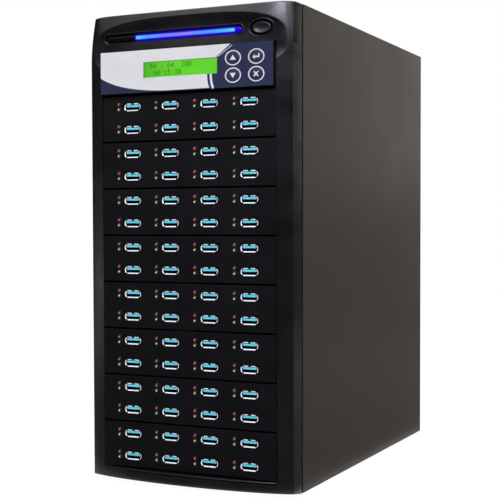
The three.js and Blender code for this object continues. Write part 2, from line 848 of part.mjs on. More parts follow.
function basePan() {
  const flangeDepths = [coverFront + baseFlangeHeight, rearPanelFront - baseFlangeHeight];
  const levels = [caseBottom, caseBottom + baseFlangeHeight];
  const body = join([
    box([-innerHalf, innerHalf], [plateFront, rearPanelBack], [caseBottom, basePlateTop]),
    box([-innerHalf, sheet - innerHalf], flangeDepths, levels),
    box([innerHalf - sheet, innerHalf], flangeDepths, levels),
  ]);
  piece('base_pan', body, 0x2a2a2c, 0.5, 0.5);
}

function screwPlaces() {
  const x = bezelHalf - sheet - rearOverlap / 2;
  const levels = [caseBottom + screwFromBottom, caseTop - screwFromTop];
  return [-1, 1].flatMap((side) => levels.map((z) => [side * x, z]));
}

function screwHoles() {
  return join(screwPlaces().map(([x, z]) => round(screwDiameter + 2 * screwHoleGap,
    [rearPanelFront - overrun, coverBack + overrun], x, z, screwSides)));
}

function ventHoles(x, z, depths) {
  const disc = round(ventDiameter, depths, x, z, fanSides);
  const pitch = ventDiameter / ventSlots;
  const slots = Array.from({ length: ventSlots }, (_, i) => box(span(x, ventDiameter), depths,
    span(z + (i - (ventSlots - 1) / 2) * pitch, pitch * ventSlotShare)));
  return disc.intersect(join(slots));
}

function rearPanel() {
  const supplyOpening = box(span(0, supplyWidth - 2 * supplyRim),
    [rearPanelFront - overrun, rearPanelBack + overrun],
    span(supplyLevel, supplyHeight - 2 * supplyRim));
  const body = box([-innerHalf, innerHalf], [rearPanelFront, rearPanelBack], [plateLow, plateHigh])
    .subtract(supplyOpening)
    .subtract(screwHoles())
    .subtract(ventHoles(0, rearFanHeight, [rearPanelFront - overrun, rearPanelBack + overrun]));
  piece('rear_panel', body, 0x2c2b29, 0.5, 0.4);
}

function sideCovers() {
  [['left_side_cover', -1], ['right_side_cover', 1]].forEach(([name, side]) => {
    const across = (near, far) => [side * near, side * far].sort((a, b) => a - b);
    const levels = [caseBottom, caseTop];
    const flangeLevels = [plateLow + baseFlangeHeight, plateHigh - baseFlangeHeight];
    const body = join([
      box(across(bezelHalf - sheet, bezelHalf), [coverFront, coverBack], levels),
      box(across(bezelHalf - sheet - rearOverlap, bezelHalf), [coverBack - sheet, coverBack],
        [plateLow, flangeLevels[1]]),
      box(across(bezelHalf - plateFlange - coverFrontFlange, bezelHalf),
        [coverFront + plateFlange, coverFront + plateFlange + sheet], flangeLevels),
    ]).subtract(screwHoles());
    piece(name, body, 0x45413d, 0.55, 0.3);
  });
}

function topCover() {
  const flangeDepths = [coverFront + baseFlangeHeight, rearPanelFront - baseFlangeHeight];
  const levels = [caseTop - baseFlangeHeight, caseTop];
  const body = join([
    box([-innerHalf, innerHalf], [plateFront, coverBack], [roofBottom, caseTop]),
    box([-innerHalf, sheet - innerHalf], flangeDepths, levels),
    box([innerHalf - sheet, innerHalf], flangeDepths, levels),
    box([-innerHalf, innerHalf], [coverBack - sheet, coverBack], levels),
  ]);
  piece('top_cover', body, 0x45413d, 0.55, 0.3);
}

function feet() {
  const radius = footDiameter / 2;
  const top = footHeight - seatGap;
  const profile = [[0, 0], [radius - footTaper, 0], [radius, top], [0, top]]
    .map(([r, z]) => new THREE.Vector2(r, z));
  const places = { left: -1, right: 1 };
  const depths = { front: coverFront + footFromFront, rear: coverBack - footFromBack };
  Object.entries(depths).forEach(([end, y]) => Object.entries(places).forEach(([side, sign]) => {
    const geometry = new THREE.LatheGeometry(profile, footSides);
    geometry.rotateX(Math.PI / 2);
    geometry.translate(sign * (bezelHalf - footInset), y, 0);
    piece(`foot_${end}_${side}`, solid(geometry), 0x141414, 0.9);
  }));
}

function thumbScrews() {
  screwPlaces().forEach(([x, z], i) => {
    const body = join([
      round(screwDiameter, [coverBack - screwLength, coverBack + screwHeadLength / 2], x, z, screwSides),
      round(screwHeadDiameter, [coverBack + seatGap, rearMost], x, z, screwSides),
    ]);
    piece(`cover_screw_${i + 1}`, body, 0x2e2e30, 0.4, 0.7);
  });
}

// Fans

function blade(x, z, depths, angle) {
  const length = (rotorTip - rotorHub) / 2 + bladeThickness;
  const geometry = new THREE.BoxGeometry(length, bladeChord, bladeThickness);
  geometry.translate(rotorHub / 2 - bladeThickness + length / 2, 0, 0);
  geometry.rotateX(bladePitchDegrees * Math.PI / 180);
  geometry.rotateY(angle);
  geometry.translate(x, (depths[0] + depths[1]) / 2, z);
  return solid(geometry);
}

// The hub turns on a fixed shaft that stands out of the frame's motor
function fanRotor(name, x, z, back) {
  const hubDepths = [back - rotorHubDepth, back];
  const blades = Array.from({ length: bladeCount },
    (_, i) => blade(x, z, hubDepths, 2 * Math.PI * i / bladeCount));
  const body = join([round(rotorHub, hubDepths, x, z, hubSides), ...blades])
    .subtract(round(fanShaft + 2 * seatGap, [back - rotorHubDepth - overrun, back - rotorHubDepth + boreDepth],
      x, z, shaftSides));
  piece(name, body, 0x202022, 0.5);
}

function fanSpider(x, z, front) {
  const depths = [front, front + fanHubDepth];
  return join([
    round(fanHub, depths, x, z, hubSides),
    box(span(x, fanBore + fanStrut / 2), [front, front + fanStrut], span(z, fanStrut)),
    box(span(x, fanStrut), [front, front + fanStrut], span(z, fanBore + fanStrut / 2)),
    round(fanShaft, [front, front + fanHubDepth + boreDepth - seatGap], x, z, shaftSides),
  ]);
}

function rearFan() {
  const depths = [rearPanelFront - seatGap - fanDepth, rearPanelFront - seatGap];
  const frame = box(span(0, fanSize), depths, span(rearFanHeight, fanSize))
    .subtract(round(fanBore, [depths[0] - overrun, depths[1] + overrun], 0, rearFanHeight, fanSides))
    .add(fanSpider(0, rearFanHeight, depths[0]));
  piece('rear_fan_frame', frame, 0x18181a, 0.5);
  fanRotor('rear_fan_rotor', 0, rearFanHeight, depths[0] + fanHubDepth + seatGap + rotorHubDepth);
}

// Power supply

function powerSupply() {
  const half = supplyWidth / 2;
  const depths = [supplyBack - supplyDepth, supplyBack];
  const levels = [supplyTop - supplyHeight, supplyTop];
  const inside = box([sheet - half, half - sheet], [depths[0] + sheet, depths[1] - sheet],
    [levels[0] + sheet, levels[1] - sheet]);
  const spiderFront = depths[1] - sheet - fanDepth;
  const ringDepths = [spiderFront, depths[1] - sheet + seatGap];
  const ring = round(fanSize, ringDepths, supplyFanCentre, supplyLevel, fanSides)
    .subtract(round(fanBore, [ringDepths[0] - overrun, ringDepths[1] + overrun],
      supplyFanCentre, supplyLevel, fanSides));
  const pocket = box(span(inletCentre, inletBodyWidth + 2 * seatGap),
    [depths[1] - overrun, depths[1] + overrun],
    span(supplyLevel, inletBodyHeight + 2 * seatGap));
  const body = box([-half, half], depths, levels)
    .subtract(inside)
    .add(ring)
    .add(fanSpider(supplyFanCentre, supplyLevel, spiderFront))
    .subtract(ventHoles(supplyFanCentre, supplyLevel, [depths[1] - sheet - seatGap, depths[1] + overrun]))
    .subtract(pocket);
  piece('power_supply_case', body, 0x9a9c9e, 0.4, 0.8);
  const rotorBack = spiderFront + fanHubDepth + seatGap + rotorHubDepth;
  fanRotor('power_supply_rotor', supplyFanCentre, supplyLevel, rotorBack);
}

function socketOutline(x, z) {
  const right = x + socketWidth / 2;
  const left = x - socketWidth / 2;
  const high = z + socketHeight / 2;
  const low = z - socketHeight / 2;
  return outline([
    [left, low], [right, low], [right, high - socketCorner], [right - socketCorner, high],
    [left + socketCorner, high], [left, high - socketCorner],
  ]);
}

function mainsInlet() {
  const face = supplyBack + seatGap;
  const back = face + inletFlange;
  const socketLevel = supplyLevel + socketRise;
  const rockerLevel = supplyLevel + rockerRise;
  const floor = back - socketDepth;
  const pin = (x, z) => box(span(x, pinWidth), [floor - seatGap, floor + pinLength], span(z, pinHeight));
  const wellWidth = rockerWidth + 2 * runningGap;
  const pivotLevel = back - rockerThickness / 2;
  const pivotHole = new THREE.CylinderGeometry(1, 1, 1, hubSides);
  const pivotSize = pivotDiameter + 2 * seatGap;
  pivotHole.scale(pivotSize / 2, wellWidth + 2 * pivotLength + 2 * seatGap, pivotSize / 2);
  pivotHole.rotateZ(Math.PI / 2);
  pivotHole.translate(inletCentre, pivotLevel, rockerLevel);
  const body = box(span(inletCentre, inletWidth), [face, back], span(supplyLevel, inletHeight))
    .add(box(span(inletCentre, inletBodyWidth), [back - inletBodyDepth, face + seatGap],
      span(supplyLevel, inletBodyHeight)))
    .subtract(prism(socketOutline(inletCentre, socketLevel), [floor, back + overrun]))
    .subtract(box(span(inletCentre, wellWidth), [back - rockerWellDepth, back + overrun],
      span(rockerLevel, rockerHeight + 2 * runningGap)))
    .subtract(solid(pivotHole))
    .add(join([
      pin(inletCentre - pinSpacing / 2, socketLevel - pinDrop),
      pin(inletCentre + pinSpacing / 2, socketLevel - pinDrop),
      pin(inletCentre, socketLevel + earthRise),
    ]));
  piece('mains_inlet', body, 0x161616, 0.5);
}

// The rocker's face is a shallow V, and its ends are rounded about the two short pins that it tips on.
// It is drawn with its lower half pressed in.
function mainsSwitch() {
  const pivotDepth = supplyBack + seatGap + inletFlange - rockerThickness / 2;
  const level = supplyLevel + rockerRise;
  const tilt = rockerTiltDegrees * Math.PI / 180;
  const radius = rockerHeight / 2;
  const corner = tilt + Math.asin(rockerThickness / 2 * Math.cos(tilt) / radius);
  const end = rockerArcShares.map((share) => corner * share)
    .map((angle) => [radius * Math.sin(angle), radius * Math.cos(angle)]);
  const opposite = end.map(([depth, rise]) => [depth, -rise]).reverse();
  const ring = (x) => [[rockerThickness / 2, 0], ...end, ...opposite].map(([depth, rise]) => [
    x,
    pivotDepth + depth * Math.cos(tilt) + rise * Math.sin(tilt),
    level + rise * Math.cos(tilt) - depth * Math.sin(tilt),
  ]);
  const pins = new THREE.CylinderGeometry(1, 1, 1, hubSides);
  pins.scale(pivotDiameter / 2, rockerWidth + 2 * pivotLength, pivotDiameter / 2);
  pins.rotateZ(Math.PI / 2);
  pins.translate(inletCentre, pivotDepth, level);
  piece('mains_switch', loft(span(inletCentre, rockerWidth).map(ring)).add(solid(pins)), 0x202020, 0.4);
}

frontBezel();
lightBar();
powerButton();
powerSwitchBoard();
controlFaceplate();
panelOverlay();
displayModule();
keyCaps();
keyBoard();
usbModules();
controller();
driveCage();
chassisFront();
basePan();
rearPanel();
sideCovers();
topCover();
feet();
thumbScrews();
rearFan();
powerSupply();
mainsInlet();
mainsSwitch();

// The origin ends up on the floor, below the middle of the tower
duplicator.position.y = (frontMost - rearMost) / 2;

export default duplicator;
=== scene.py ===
"""A tower that copies flash drives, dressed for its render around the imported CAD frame.
The frame is in metres: +X right, +Y from front to back, +Z up, the floor at 0. Sizes of pieces are in
millimetres, and their Y is counted backwards from the front of the modules' faceplates."""
import math

import bmesh
import bpy
from mathutils import Euler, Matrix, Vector
from mathutils.geometry import tessellate_polygon


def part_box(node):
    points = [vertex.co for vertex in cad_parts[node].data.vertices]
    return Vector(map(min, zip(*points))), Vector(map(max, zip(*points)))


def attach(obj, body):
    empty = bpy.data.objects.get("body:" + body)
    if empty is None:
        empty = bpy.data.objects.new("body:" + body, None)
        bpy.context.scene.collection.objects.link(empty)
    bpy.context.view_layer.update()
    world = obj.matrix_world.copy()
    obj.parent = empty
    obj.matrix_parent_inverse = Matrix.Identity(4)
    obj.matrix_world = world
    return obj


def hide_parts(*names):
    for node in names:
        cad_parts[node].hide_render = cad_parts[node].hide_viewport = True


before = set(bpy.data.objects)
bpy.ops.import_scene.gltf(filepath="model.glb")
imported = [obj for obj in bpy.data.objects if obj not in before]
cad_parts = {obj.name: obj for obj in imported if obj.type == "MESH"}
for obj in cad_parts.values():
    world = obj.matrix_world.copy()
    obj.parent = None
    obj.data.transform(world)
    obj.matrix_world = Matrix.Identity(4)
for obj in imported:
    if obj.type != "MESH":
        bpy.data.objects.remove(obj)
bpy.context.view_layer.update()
mm = 0.001


# Camera
# It stands in front of the tower and to its right, level with its middle, a little over a metre away.
# The picture is square, so one focal length in millimetres serves its width and its height.


def placed(name, data):
    """An object at the origin that shows this mesh, camera or lamp."""
    made = bpy.data.objects.new(name, data)
    bpy.context.collection.objects.link(made)
    return made


pitch_down, roll, yaw = 1.09, 0.03, 25.38
camera = placed("camera", bpy.data.cameras.new("camera"))
camera.location = (0.4916, -1.0906, 0.2348)
camera.rotation_euler = Euler([math.radians(angle) for angle in (90 - pitch_down, roll, yaw)])
camera.data.lens = 83.32
camera.data.sensor_width = 36
bpy.context.scene.camera = camera
bpy.context.scene.view_settings.view_transform = "Standard"


# Studio
# A white paper floor and a white surround, which the camera and every reflection see as plain white.
# The floor keeps the tower's soft shadow. Black cards and grey felt, which only reflections show, keep
# the black front dark.


def linear(code):
    """An sRGB hex colour as linear RGBA."""
    channels = [int(code[i:i + 2], 16) / 255 for i in (0, 2, 4)]
    return (*[c / 12.92 if c <= 0.04045 else ((c + 0.055) / 1.055) ** 2.4 for c in channels], 1.0)


def feed(node, inputs):
    """Gives a node's inputs their values. A value may be the output socket of another node."""
    for key, value in inputs.items():
        if isinstance(value, bpy.types.NodeSocket):
            node.id_data.links.new(value, node.inputs[key])
        else:
            node.inputs[key].default_value = value
    return node


def add(tree, kind, inputs=None, **settings):
    """One node with its settings and inputs."""
    node = tree.nodes.new(kind)
    for name, value in settings.items():
        setattr(node, name, value)
    return feed(node, inputs or {})


def empty_tree(owner):
    """The node tree of a world or a material, with nothing in it."""
    owner.use_nodes = True
    owner.node_tree.nodes.clear()
    return owner.node_tree


def seen_plainly(tree):
    """1 on rays from the camera, off something shiny or through something clear, and 0 on the rest."""
    rays = add(tree, "ShaderNodeLightPath").outputs
    seen = rays["Is Camera Ray"]
    for kind in ("Is Glossy Ray", "Is Transmission Ray"):
        seen = add(tree, "ShaderNodeMath", {0: seen, 1: rays[kind]}, operation="MAXIMUM").outputs[0]
    return seen


def facets(name, points, faces):
    """An object with a mesh of these points, in metres."""
    mesh = bpy.data.meshes.new(name)
    mesh.from_pydata(points, [], faces)
    mesh.update()
    return placed(name, mesh)


def made_of(material, piece):
    """The piece, with this as its material."""
    piece.data.materials.append(material)
    return piece


world = bpy.context.scene.world or bpy.data.worlds.new("studio")
bpy.context.scene.world = world
tree = empty_tree(world)
soft = add(tree, "ShaderNodeBackground", {"Color": linear("eef0f4"), "Strength": 0.42})
white = add(tree, "ShaderNodeBackground", {"Color": (1, 1, 1, 1), "Strength": 1.0})
both = add(tree, "ShaderNodeMixShader", {0: seen_plainly(tree), 1: soft.outputs[0], 2: white.outputs[0]})
add(tree, "ShaderNodeOutputWorld", {"Surface": both.outputs[0]})

# Paper that is lit from behind for nine tenths, so that it stays white and still takes a soft shadow
paper = bpy.data.materials.new("white_paper")
tree = empty_tree(paper)
share = add(tree, "ShaderNodeMath", {0: seen_plainly(tree), 1: 0.9}, operation="MULTIPLY")
matt = add(tree, "ShaderNodeBsdfDiffuse", {"Color": linear("f4f4f4")})
glow = add(tree, "ShaderNodeEmission", {"Color": (1, 1, 1, 1), "Strength": 1.08})
both = add(tree, "ShaderNodeMixShader", {0: share.outputs[0], 1: matt.outputs[0], 2: glow.outputs[0]})
add(tree, "ShaderNodeOutputMaterial", {"Surface": both.outputs[0]})
reach = 6.0
floor = facets("floor", [(-reach, -reach, 0), (reach, -reach, 0), (reach, reach, 0), (-reach, reach, 0)],
               [(0, 1, 2, 3)])
made_of(paper, floor)

cloths = {}
for name, colour in (("black_velvet", "0a0a0a"), ("grey_felt", "707070")):
    cloths[name] = bpy.data.materials.new(name)
    tree = empty_tree(cloths[name])
    matt = add(tree, "ShaderNodeBsdfDiffuse", {"Color": linear(colour)})
    add(tree, "ShaderNodeOutputMaterial", {"Surface": matt.outputs[0]})

# name, cloth, corners: cards stand behind the camera, beyond the tower's left side and beside its back, and
# cloths lie a little above the floor before its foot
lift = 0.003
cards = [
    ("front_card", "black_velvet", [(-2.0, -1.5, 0), (1.7, -1.9, 0), (1.7, -1.9, 1.05), (-2.0, -1.5, 1.05)]),
    ("right_card", "black_velvet", [(1.5, 0.1, 0), (0.3, 1.9, 0), (0.3, 1.9, 1.6), (1.5, 0.1, 1.6)]),
    ("left_card", "black_velvet", [(-2.0, -1.5, 0), (-0.6, 1.6, 0), (-0.6, 1.6, 1.6), (-2.0, -1.5, 1.05)]),
    ("front_cloth", "grey_felt", [(-2.0, -1.5, lift), (1.7, -1.9, lift), (0.8, -0.2, lift),
                                  (-0.8, -0.2, lift)]),
    ("right_cloth", "grey_felt", [(0.11, -0.18, lift), (1.5, -0.18, lift), (1.5, 1.9, lift),
                                  (0.11, 1.9, lift)]),
]
for name, cloth, corners in cards:
    card = made_of(cloths[cloth], facets(name, corners, [(0, 1, 2, 3)]))
    card.visible_camera = False
    card.visible_shadow = False
    card.visible_diffuse = False

# name, place, what it points at, width, height, power in watts, what it lights, colour
lamps = [
    ("overhead", (0.0, -0.1, 1.6), (0.0, 0.0, 0.2), 1.2, 1.4, 9, "both", "f2f4ff"),
    ("top_front", (0.0, -1.3, 1.55), (0.0, -0.18, 0.4), 0.9, 0.35, 13, "both", "eaecff"),
    ("top_right", (0.75, -1.1, 1.35), (0.1, -0.18, 0.42), 0.6, 0.4, 9, "gloss", "e4e4ff"),
    ("front_high", (0.13, -1.3, 1.03), (0.09, -0.19, 0.42), 0.5, 0.2, 8, "gloss", "e4e4ff"),
    ("low_left", (-1.3, -0.9, 0.1), (-0.1, -0.19, 0.12), 0.4, 0.2, 0.45, "gloss", "f4f4f8"),
    ("front_left", (-1.3, -1.0, 0.8), (0.0, 0.0, 0.2), 0.5, 1.0, 2.4, "matt", "f6f4f4"),
    ("right_side", (0.55, 0.85, 0.25), (0.1, 0.15, 0.2), 0.5, 0.6, 6.2, "matt", "f4f0ea"),
    ("right_wall", (1.3, 1.1, 0.65), (0.1, 0.15, 0.2), 0.7, 1.5, 12, "gloss", "f4f2ee"),
    ("right_sheen", (0.42, 1.25, 0.7), (0.1, 0.18, 0.3), 0.2, 0.8, 1.2, "gloss", "f4f2ee"),
]
for name, place, target, width, height, power, lights_what, colour in lamps:
    lamp = bpy.data.lights.new(name, "AREA")
    lamp.shape = "RECTANGLE"
    lamp.size, lamp.size_y = width, height
    lamp.energy = power
    lamp.color = linear(colour)[:3]
    made = placed(name, lamp)
    made.location = place
    made.rotation_euler = (Vector(target) - Vector(place)).to_track_quat("-Z", "Y").to_euler()
    made.visible_diffuse = lights_what != "gloss"
    made.visible_glossy = lights_what != "matt"


# Moulded front
# One big ABS moulding, bowed in plan and swept back at the top, with a scoop above the control panel.
# It snaps onto the chassis. Its skin has a fine spark-eroded grain with a soft sheen.

panel_proud = 4.5
face_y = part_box("panel_overlay")[0].y + panel_proud * mm


def at(x, y, z):
    """A place of the front, in millimetres, as a place in the frame."""
    return Vector((x * mm, face_y + y * mm, z * mm))


def box_of(node):
    """A node's lowest and highest corners in millimetres, as at() counts them."""
    return [Vector((corner.x / mm, (corner.y - face_y) / mm, corner.z / mm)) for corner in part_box(node)]


def middle_of(node):
    """X and Z of a node's middle, in millimetres."""
    low, high = box_of(node)
    return (low.x + high.x) / 2, (low.z + high.z) / 2


def about(middle, half):
    """Both ends of a stretch round its middle."""
    return middle - half, middle + half


bezel_low, bezel_high = box_of("front_bezel")
bezel_half, bezel_back, bezel_bottom = bezel_high.x, bezel_high.y, bezel_low.z
bezel_height = bezel_high.z - bezel_low.z
sill, head_gap, window_gap = 13.1, 0.5, 0.4
panel_top = box_of("panel_overlay")[1].z + head_gap
window_low, window_high = bezel_bottom + sill - window_gap, panel_top + window_gap
window_half = box_of("module_1_faceplate")[1].x + window_gap
bow_proud, bow_lean, bow_depth, bow_share = 6.8, 2.9, 10.0, 0.95
bow_radius = bow_depth / (1 - math.sqrt(1 - bow_share ** 2))
hem_height, hem_rise, hem_corner_rise = 12.0, 1.8, 0.8
side_flare, side_flare_end = 0.6, 17.0
sweep_height, top_setback, top_corner_depth, top_corner_power = 43.0, 1.5, 10.3, 10
sweep_start = bezel_height - sweep_height
top_rounding, bottom_rounding = 1.4, 0.8
wall = 2.5
scoop_half, scoop_rise, scoop_fall, scoop_depth, scoop_power = 97.0, 28.5, 22.0, 6.0, 3
scoop_level = panel_top - bezel_bottom
scoop_edge_softness, scoop_steepness = 0.12, 3.2


def turns_of(count):
    """The angles of that many even steps round a circle."""
    return [2 * math.pi * i / count for i in range(count)]


def shape(name, points, faces):
    """A mesh object from points in millimetres, as at() counts them."""
    return facets(name, [at(*point) for point in points], faces)


def outward(piece):
    """Merges doubles and turns every face outwards."""
    work = bmesh.new()
    work.from_mesh(piece.data)
    bmesh.ops.remove_doubles(work, verts=work.verts, dist=0.00001)
    bmesh.ops.recalc_face_normals(work, faces=work.faces)
    work.to_mesh(piece.data)
    work.free()
    return piece


def skin(rings, count, closed=False):
    """The faces between rings of that many points. A closed skin also joins the last ring to the first."""
    pairs = [(level, (level + 1) % rings) for level in range(rings if closed else rings - 1)]
    return [(a * count + i, a * count + (i + 1) % count, b * count + (i + 1) % count, b * count + i)
            for a, b in pairs for i in range(count)]


def loft(name, rings):
    """A closed body through rings that have the same number of points."""
    count = len(rings[0])
    last = (len(rings) - 1) * count
    faces = skin(len(rings), count) + [tuple(range(count)), tuple(range(last, last + count))]
    return outward(shape(name, [point for ring in rings for point in ring], faces))


def block(name, x, y, z):
    """A block between two places along each axis."""
    corners = ((0, 0), (1, 0), (1, 1), (0, 1))
    return loft(name, [[(x[i], depth, z[j]) for i, j in corners] for depth in y])


def oval(width, height, x, y, z, sides=96):
    """An upright oval ring."""
    return [(x + width / 2 * math.cos(turn), y, z + height / 2 * math.sin(turn)) for turn in turns_of(sides)]


def stadium(length, height, x, y, z, steps=24):
    """An upright ring with straight edges above and below, and round ends."""
    straight = (length - height) / 2
    ring = []
    for side in (1, -1):
        for i in range(steps + 1):
            turn = math.pi * (i / steps - 0.5)
            out, up = straight + height / 2 * math.cos(turn), height / 2 * math.sin(turn)
            ring.append((x + side * out, y, z + side * up))
    return ring


def settle(piece):
    """Turns a piece's modifiers into its plain mesh."""
    result = bpy.data.meshes.new_from_object(piece.evaluated_get(bpy.context.evaluated_depsgraph_get()))
    piece.modifiers.clear()
    piece.data = result
    return piece


def cut(piece, tool):
    """Cuts a body with another one, which is then gone."""
    step = piece.modifiers.new("cut", "BOOLEAN")
    step.solver = "EXACT"
    step.operation = "DIFFERENCE"
    step.object = tool
    settle(piece)
    bpy.data.objects.remove(tool)
    return piece


def shade(piece, degrees=32):
    """Smooth faces, with an edge kept wherever two of them meet at more than this angle."""
    work = bmesh.new()
    work.from_mesh(piece.data)
    for face in work.faces:
        face.smooth = True
    for edge in work.edges:
        edge.smooth = len(edge.link_faces) == 2 and edge.calc_face_angle(math.pi) < math.radians(degrees)
    work.to_mesh(piece.data)
    work.free()
    return piece


def merge(name, parts):
    """Several mesh objects as one, each with its own materials."""
    materials = []
    work = bmesh.new()
    for part in parts:
        start = len(work.faces)
        work.from_mesh(part.data)
        work.faces.ensure_lookup_table()
        materials += [material for material in part.data.materials if material not in materials]
        own = [materials.index(material) for material in part.data.materials]
        for face in work.faces[start:]:
            face.material_index = own[face.material_index] if own else 0
        bpy.data.objects.remove(part)
    mesh = bpy.data.meshes.new(name)
    work.to_mesh(mesh)
    work.free()
    for material in materials:
        mesh.materials.append(material)
    return placed(name, mesh)


def front_face(across, height):
    """How far behind the faceplates' face the moulding lies, across from -1 to 1, above its bottom."""
    across = min(abs(across), 1.0)
    sweep = max(0.0, (height - sweep_start) / sweep_height) ** 2
    lean = bow_lean * max(0.0, 1 - height / sweep_start)
    low = bow_radius * (1 - math.sqrt(1 - (bow_share * across) ** 2)) - bow_proud + lean
    top = top_setback + top_corner_depth * (1 - math.sqrt(1 - across ** top_corner_power))
    return low + (top - low) * sweep


def scoop(x, height):
    """Depth of the scoop there, which fades out over a soft edge."""
    up = height - scoop_level
    reach = scoop_rise if up > 0 else scoop_fall
    share = abs(x / scoop_half) ** scoop_power + abs(up / reach) ** scoop_power
    depth = scoop_depth * (1 - share ** (scoop_steepness / scoop_power))
    return (depth + math.sqrt(depth ** 2 + scoop_edge_softness ** 2)) / 2


def hem(across, height):
    """How far the front's lower edge lies above the case's, for a ring at this height."""
    return (hem_rise + hem_corner_rise * across ** 2) * max(0.0, 1 - height / hem_height)


def bezel_ring(height, inset, back, steps, scooped):
    """The moulding's outline in plan at one height, drawn in by inset, from one back edge to the other."""
    half = bezel_half - inset
    z = bezel_bottom + height
    side_rise = hem(1, height) * (back - side_flare_end) / (back - front_face(1, height) - inset)
    ring = [(-half, back, z), (-half, side_flare_end, z + side_rise)]
    for i in range(steps + 1):
        across = math.sin((i / steps - 0.5) * math.pi)
        depth = scoop((half - side_flare) * across, height) if scooped else 0.0
        y = front_face(across, height) + inset + depth
        ring.append(((half - side_flare) * across, y, z + hem(across, height)))
    return ring + [(half, side_flare_end, z + side_rise), (half, back, z)]


# Rings from the rounded bottom edge up to the rounded top edge, each a height and how far it is drawn in
column_steps, hollow_steps, row_height = 280, 40, 0.55
plain_heights = (2, 3.5, 5, 6.5, 8, 10, 12, 14, 40, 100, 160, 220, 280, 340, 362)
scoop_start, scoop_end = 368.0, bezel_height - top_rounding
rows = int((scoop_end - scoop_start) / row_height)
levels = [(bottom_rounding * (1 - math.cos(turn)), bottom_rounding * (1 - math.sin(turn)))
          for turn in (0.0, math.pi / 6, math.pi / 3, math.pi / 2)]
levels += [(height, 0.0) for height in plain_heights]
levels += [(scoop_start + (scoop_end - scoop_start) * i / rows, 0.0) for i in range(rows + 1)]
levels += [(scoop_end + top_rounding * math.sin(turn), top_rounding * (1 - math.cos(turn)))
           for turn in (math.pi / 16 * i for i in range(1, 9))]
bezel = loft("bowed_front", [bezel_ring(height, inset, bezel_back, column_steps, True)
                             for height, inset in levels])

# The bar's groove and slot, the button's dish and sleeve, the window, and the groove under the ledge
bar_centre, bar_length, bar_height, bar_level = -15.0, 136.0, 4.2, panel_top + 12.4
groove_margin, groove_floor, groove_back_share, slot_gap = 2.4, 3.8, 1.6, 0.2
button_centre, button_level, button_width, button_height = 73.0, panel_top + 12.3, 18.0, 10.4
dish_width, dish_height, dish_depth, dish_front, dish_floor = 23.0, 14.2, 3.0, 0.4, 1.2
dish_reach, dish_slope, dish_wall = 3, 2, 1.0
sleeve_wall, sleeve_end, running_gap = 1.6, 11.0, 0.3
ledge_left, ledge_right, ledge_drop, ledge_height, ledge_depth, ledge_end = -62, 87, 2.6, 1.2, 1.2, 6
liner = 2.0
reach_front, reach_back = -40.0, bezel_back + 10


def slot_body(name, grow, front, back):
    """A body like the light bar, grown all round, to cut with."""
    size = (bar_length + 2 * grow, bar_height + 2 * grow, bar_centre)
    return loft(name, [stadium(*size, front, bar_level), stadium(*size, back, bar_level)])


def button_body(name, grow, front, back, width=button_width, height=button_height):
    """A body like the power button or its dish, grown all round, to cut with."""
    return loft(name, [oval(width + 2 * grow, height + 2 * grow, button_centre, y, button_level)
                       for y in (front, back)])


hollow_heights = (wall, 4, 6, 9, 12, 383, 392, 402, 410, 417, bezel_height - wall)
hollow = loft("hollow", [bezel_ring(height, wall, reach_back, hollow_steps, False)
                         for height in hollow_heights])
# The wall behind the scoop follows it at the moulding's thickness
rings = []
for share, behind in ((1.04, False), (1.04, True), (0.9, True), (0.7, True), (0.4, True)):
    depth = wall + scoop_depth * (1 - share ** scoop_steepness)
    ring = []
    for turn in turns_of(48):
        across = math.copysign(abs(math.cos(turn)) ** (2 / scoop_power), math.cos(turn))
        up = math.copysign(abs(math.sin(turn)) ** (2 / scoop_power), math.sin(turn))
        x = scoop_half * share * across
        height = scoop_level + (scoop_rise if up > 0 else scoop_fall) * share * up
        y = front_face(x / bezel_half, height) + depth if behind else reach_front
        ring.append((x, y, bezel_bottom + height))
    rings.append(ring)
cut(hollow, loft("scoop_back", rings))
cut(hollow, slot_body("groove_back", groove_margin * groove_back_share, reach_front, groove_floor + wall))
cut(hollow, button_body("dish_back", dish_wall, reach_front, dish_front + dish_depth + wall, dish_width,
                        dish_height))
cut(hollow, button_body("sleeve", running_gap + sleeve_wall, reach_front, sleeve_end))
cut(hollow, block("liner", about(0, window_half + liner), (reach_front, bezel_back),
                  (window_low - liner, window_high + liner)))
cut(bezel, hollow)
cut(bezel, block("window", about(0, window_half), (reach_front, reach_back), (window_low, window_high)))
cut(bezel, slot_body("groove", groove_margin, reach_front, groove_floor))
cut(bezel, slot_body("slot", slot_gap, reach_front, reach_back))
spread = dish_slope * dish_depth * dish_reach
dish_rings = [(dish_width + spread, dish_height + spread, dish_front - dish_reach * dish_depth),
              (dish_width, dish_height, dish_front),
              (button_width + dish_floor, button_height + dish_floor, dish_front + dish_depth)]
cut(bezel, loft("countersink", [oval(width, height, button_centre, y, button_level)
                                for width, height, y in dish_rings]))
cut(bezel, button_body("hole", running_gap, reach_front, reach_back))
under = window_low - ledge_drop
ledge_cut = block("ledge_cut", (ledge_left, ledge_right), (reach_front, bezel_back - ledge_end),
                  (under, under + ledge_height))
cut(ledge_cut, loft("ledge_core", [bezel_ring(height, ledge_depth, bezel_back, 60, False)
                                   for height in (0, 3, 6, 9, 12, 15)]))
cut(bezel, ledge_cut)
shade(bezel, 28)


def begin(name):
    """A new material with its tree, its surface shader and the place of each point."""
    material = bpy.data.materials.new(name)
    material.use_nodes = True
    tree = material.node_tree
    return material, tree, tree.nodes["Principled BSDF"], add(tree, "ShaderNodeTexCoord").outputs["Object"]


def mottled(tree, place, scale, dark, light, detail=2.0):
    """A colour that wanders between two, in a noise of that scale."""
    noise = add(tree, "ShaderNodeTexNoise", {"Vector": place, "Scale": scale, "Detail": detail})
    tone = add(tree, "ShaderNodeMix", {"Factor": noise.outputs[0], 6: dark, 7: light}, data_type="RGBA")
    return tone.outputs[2]


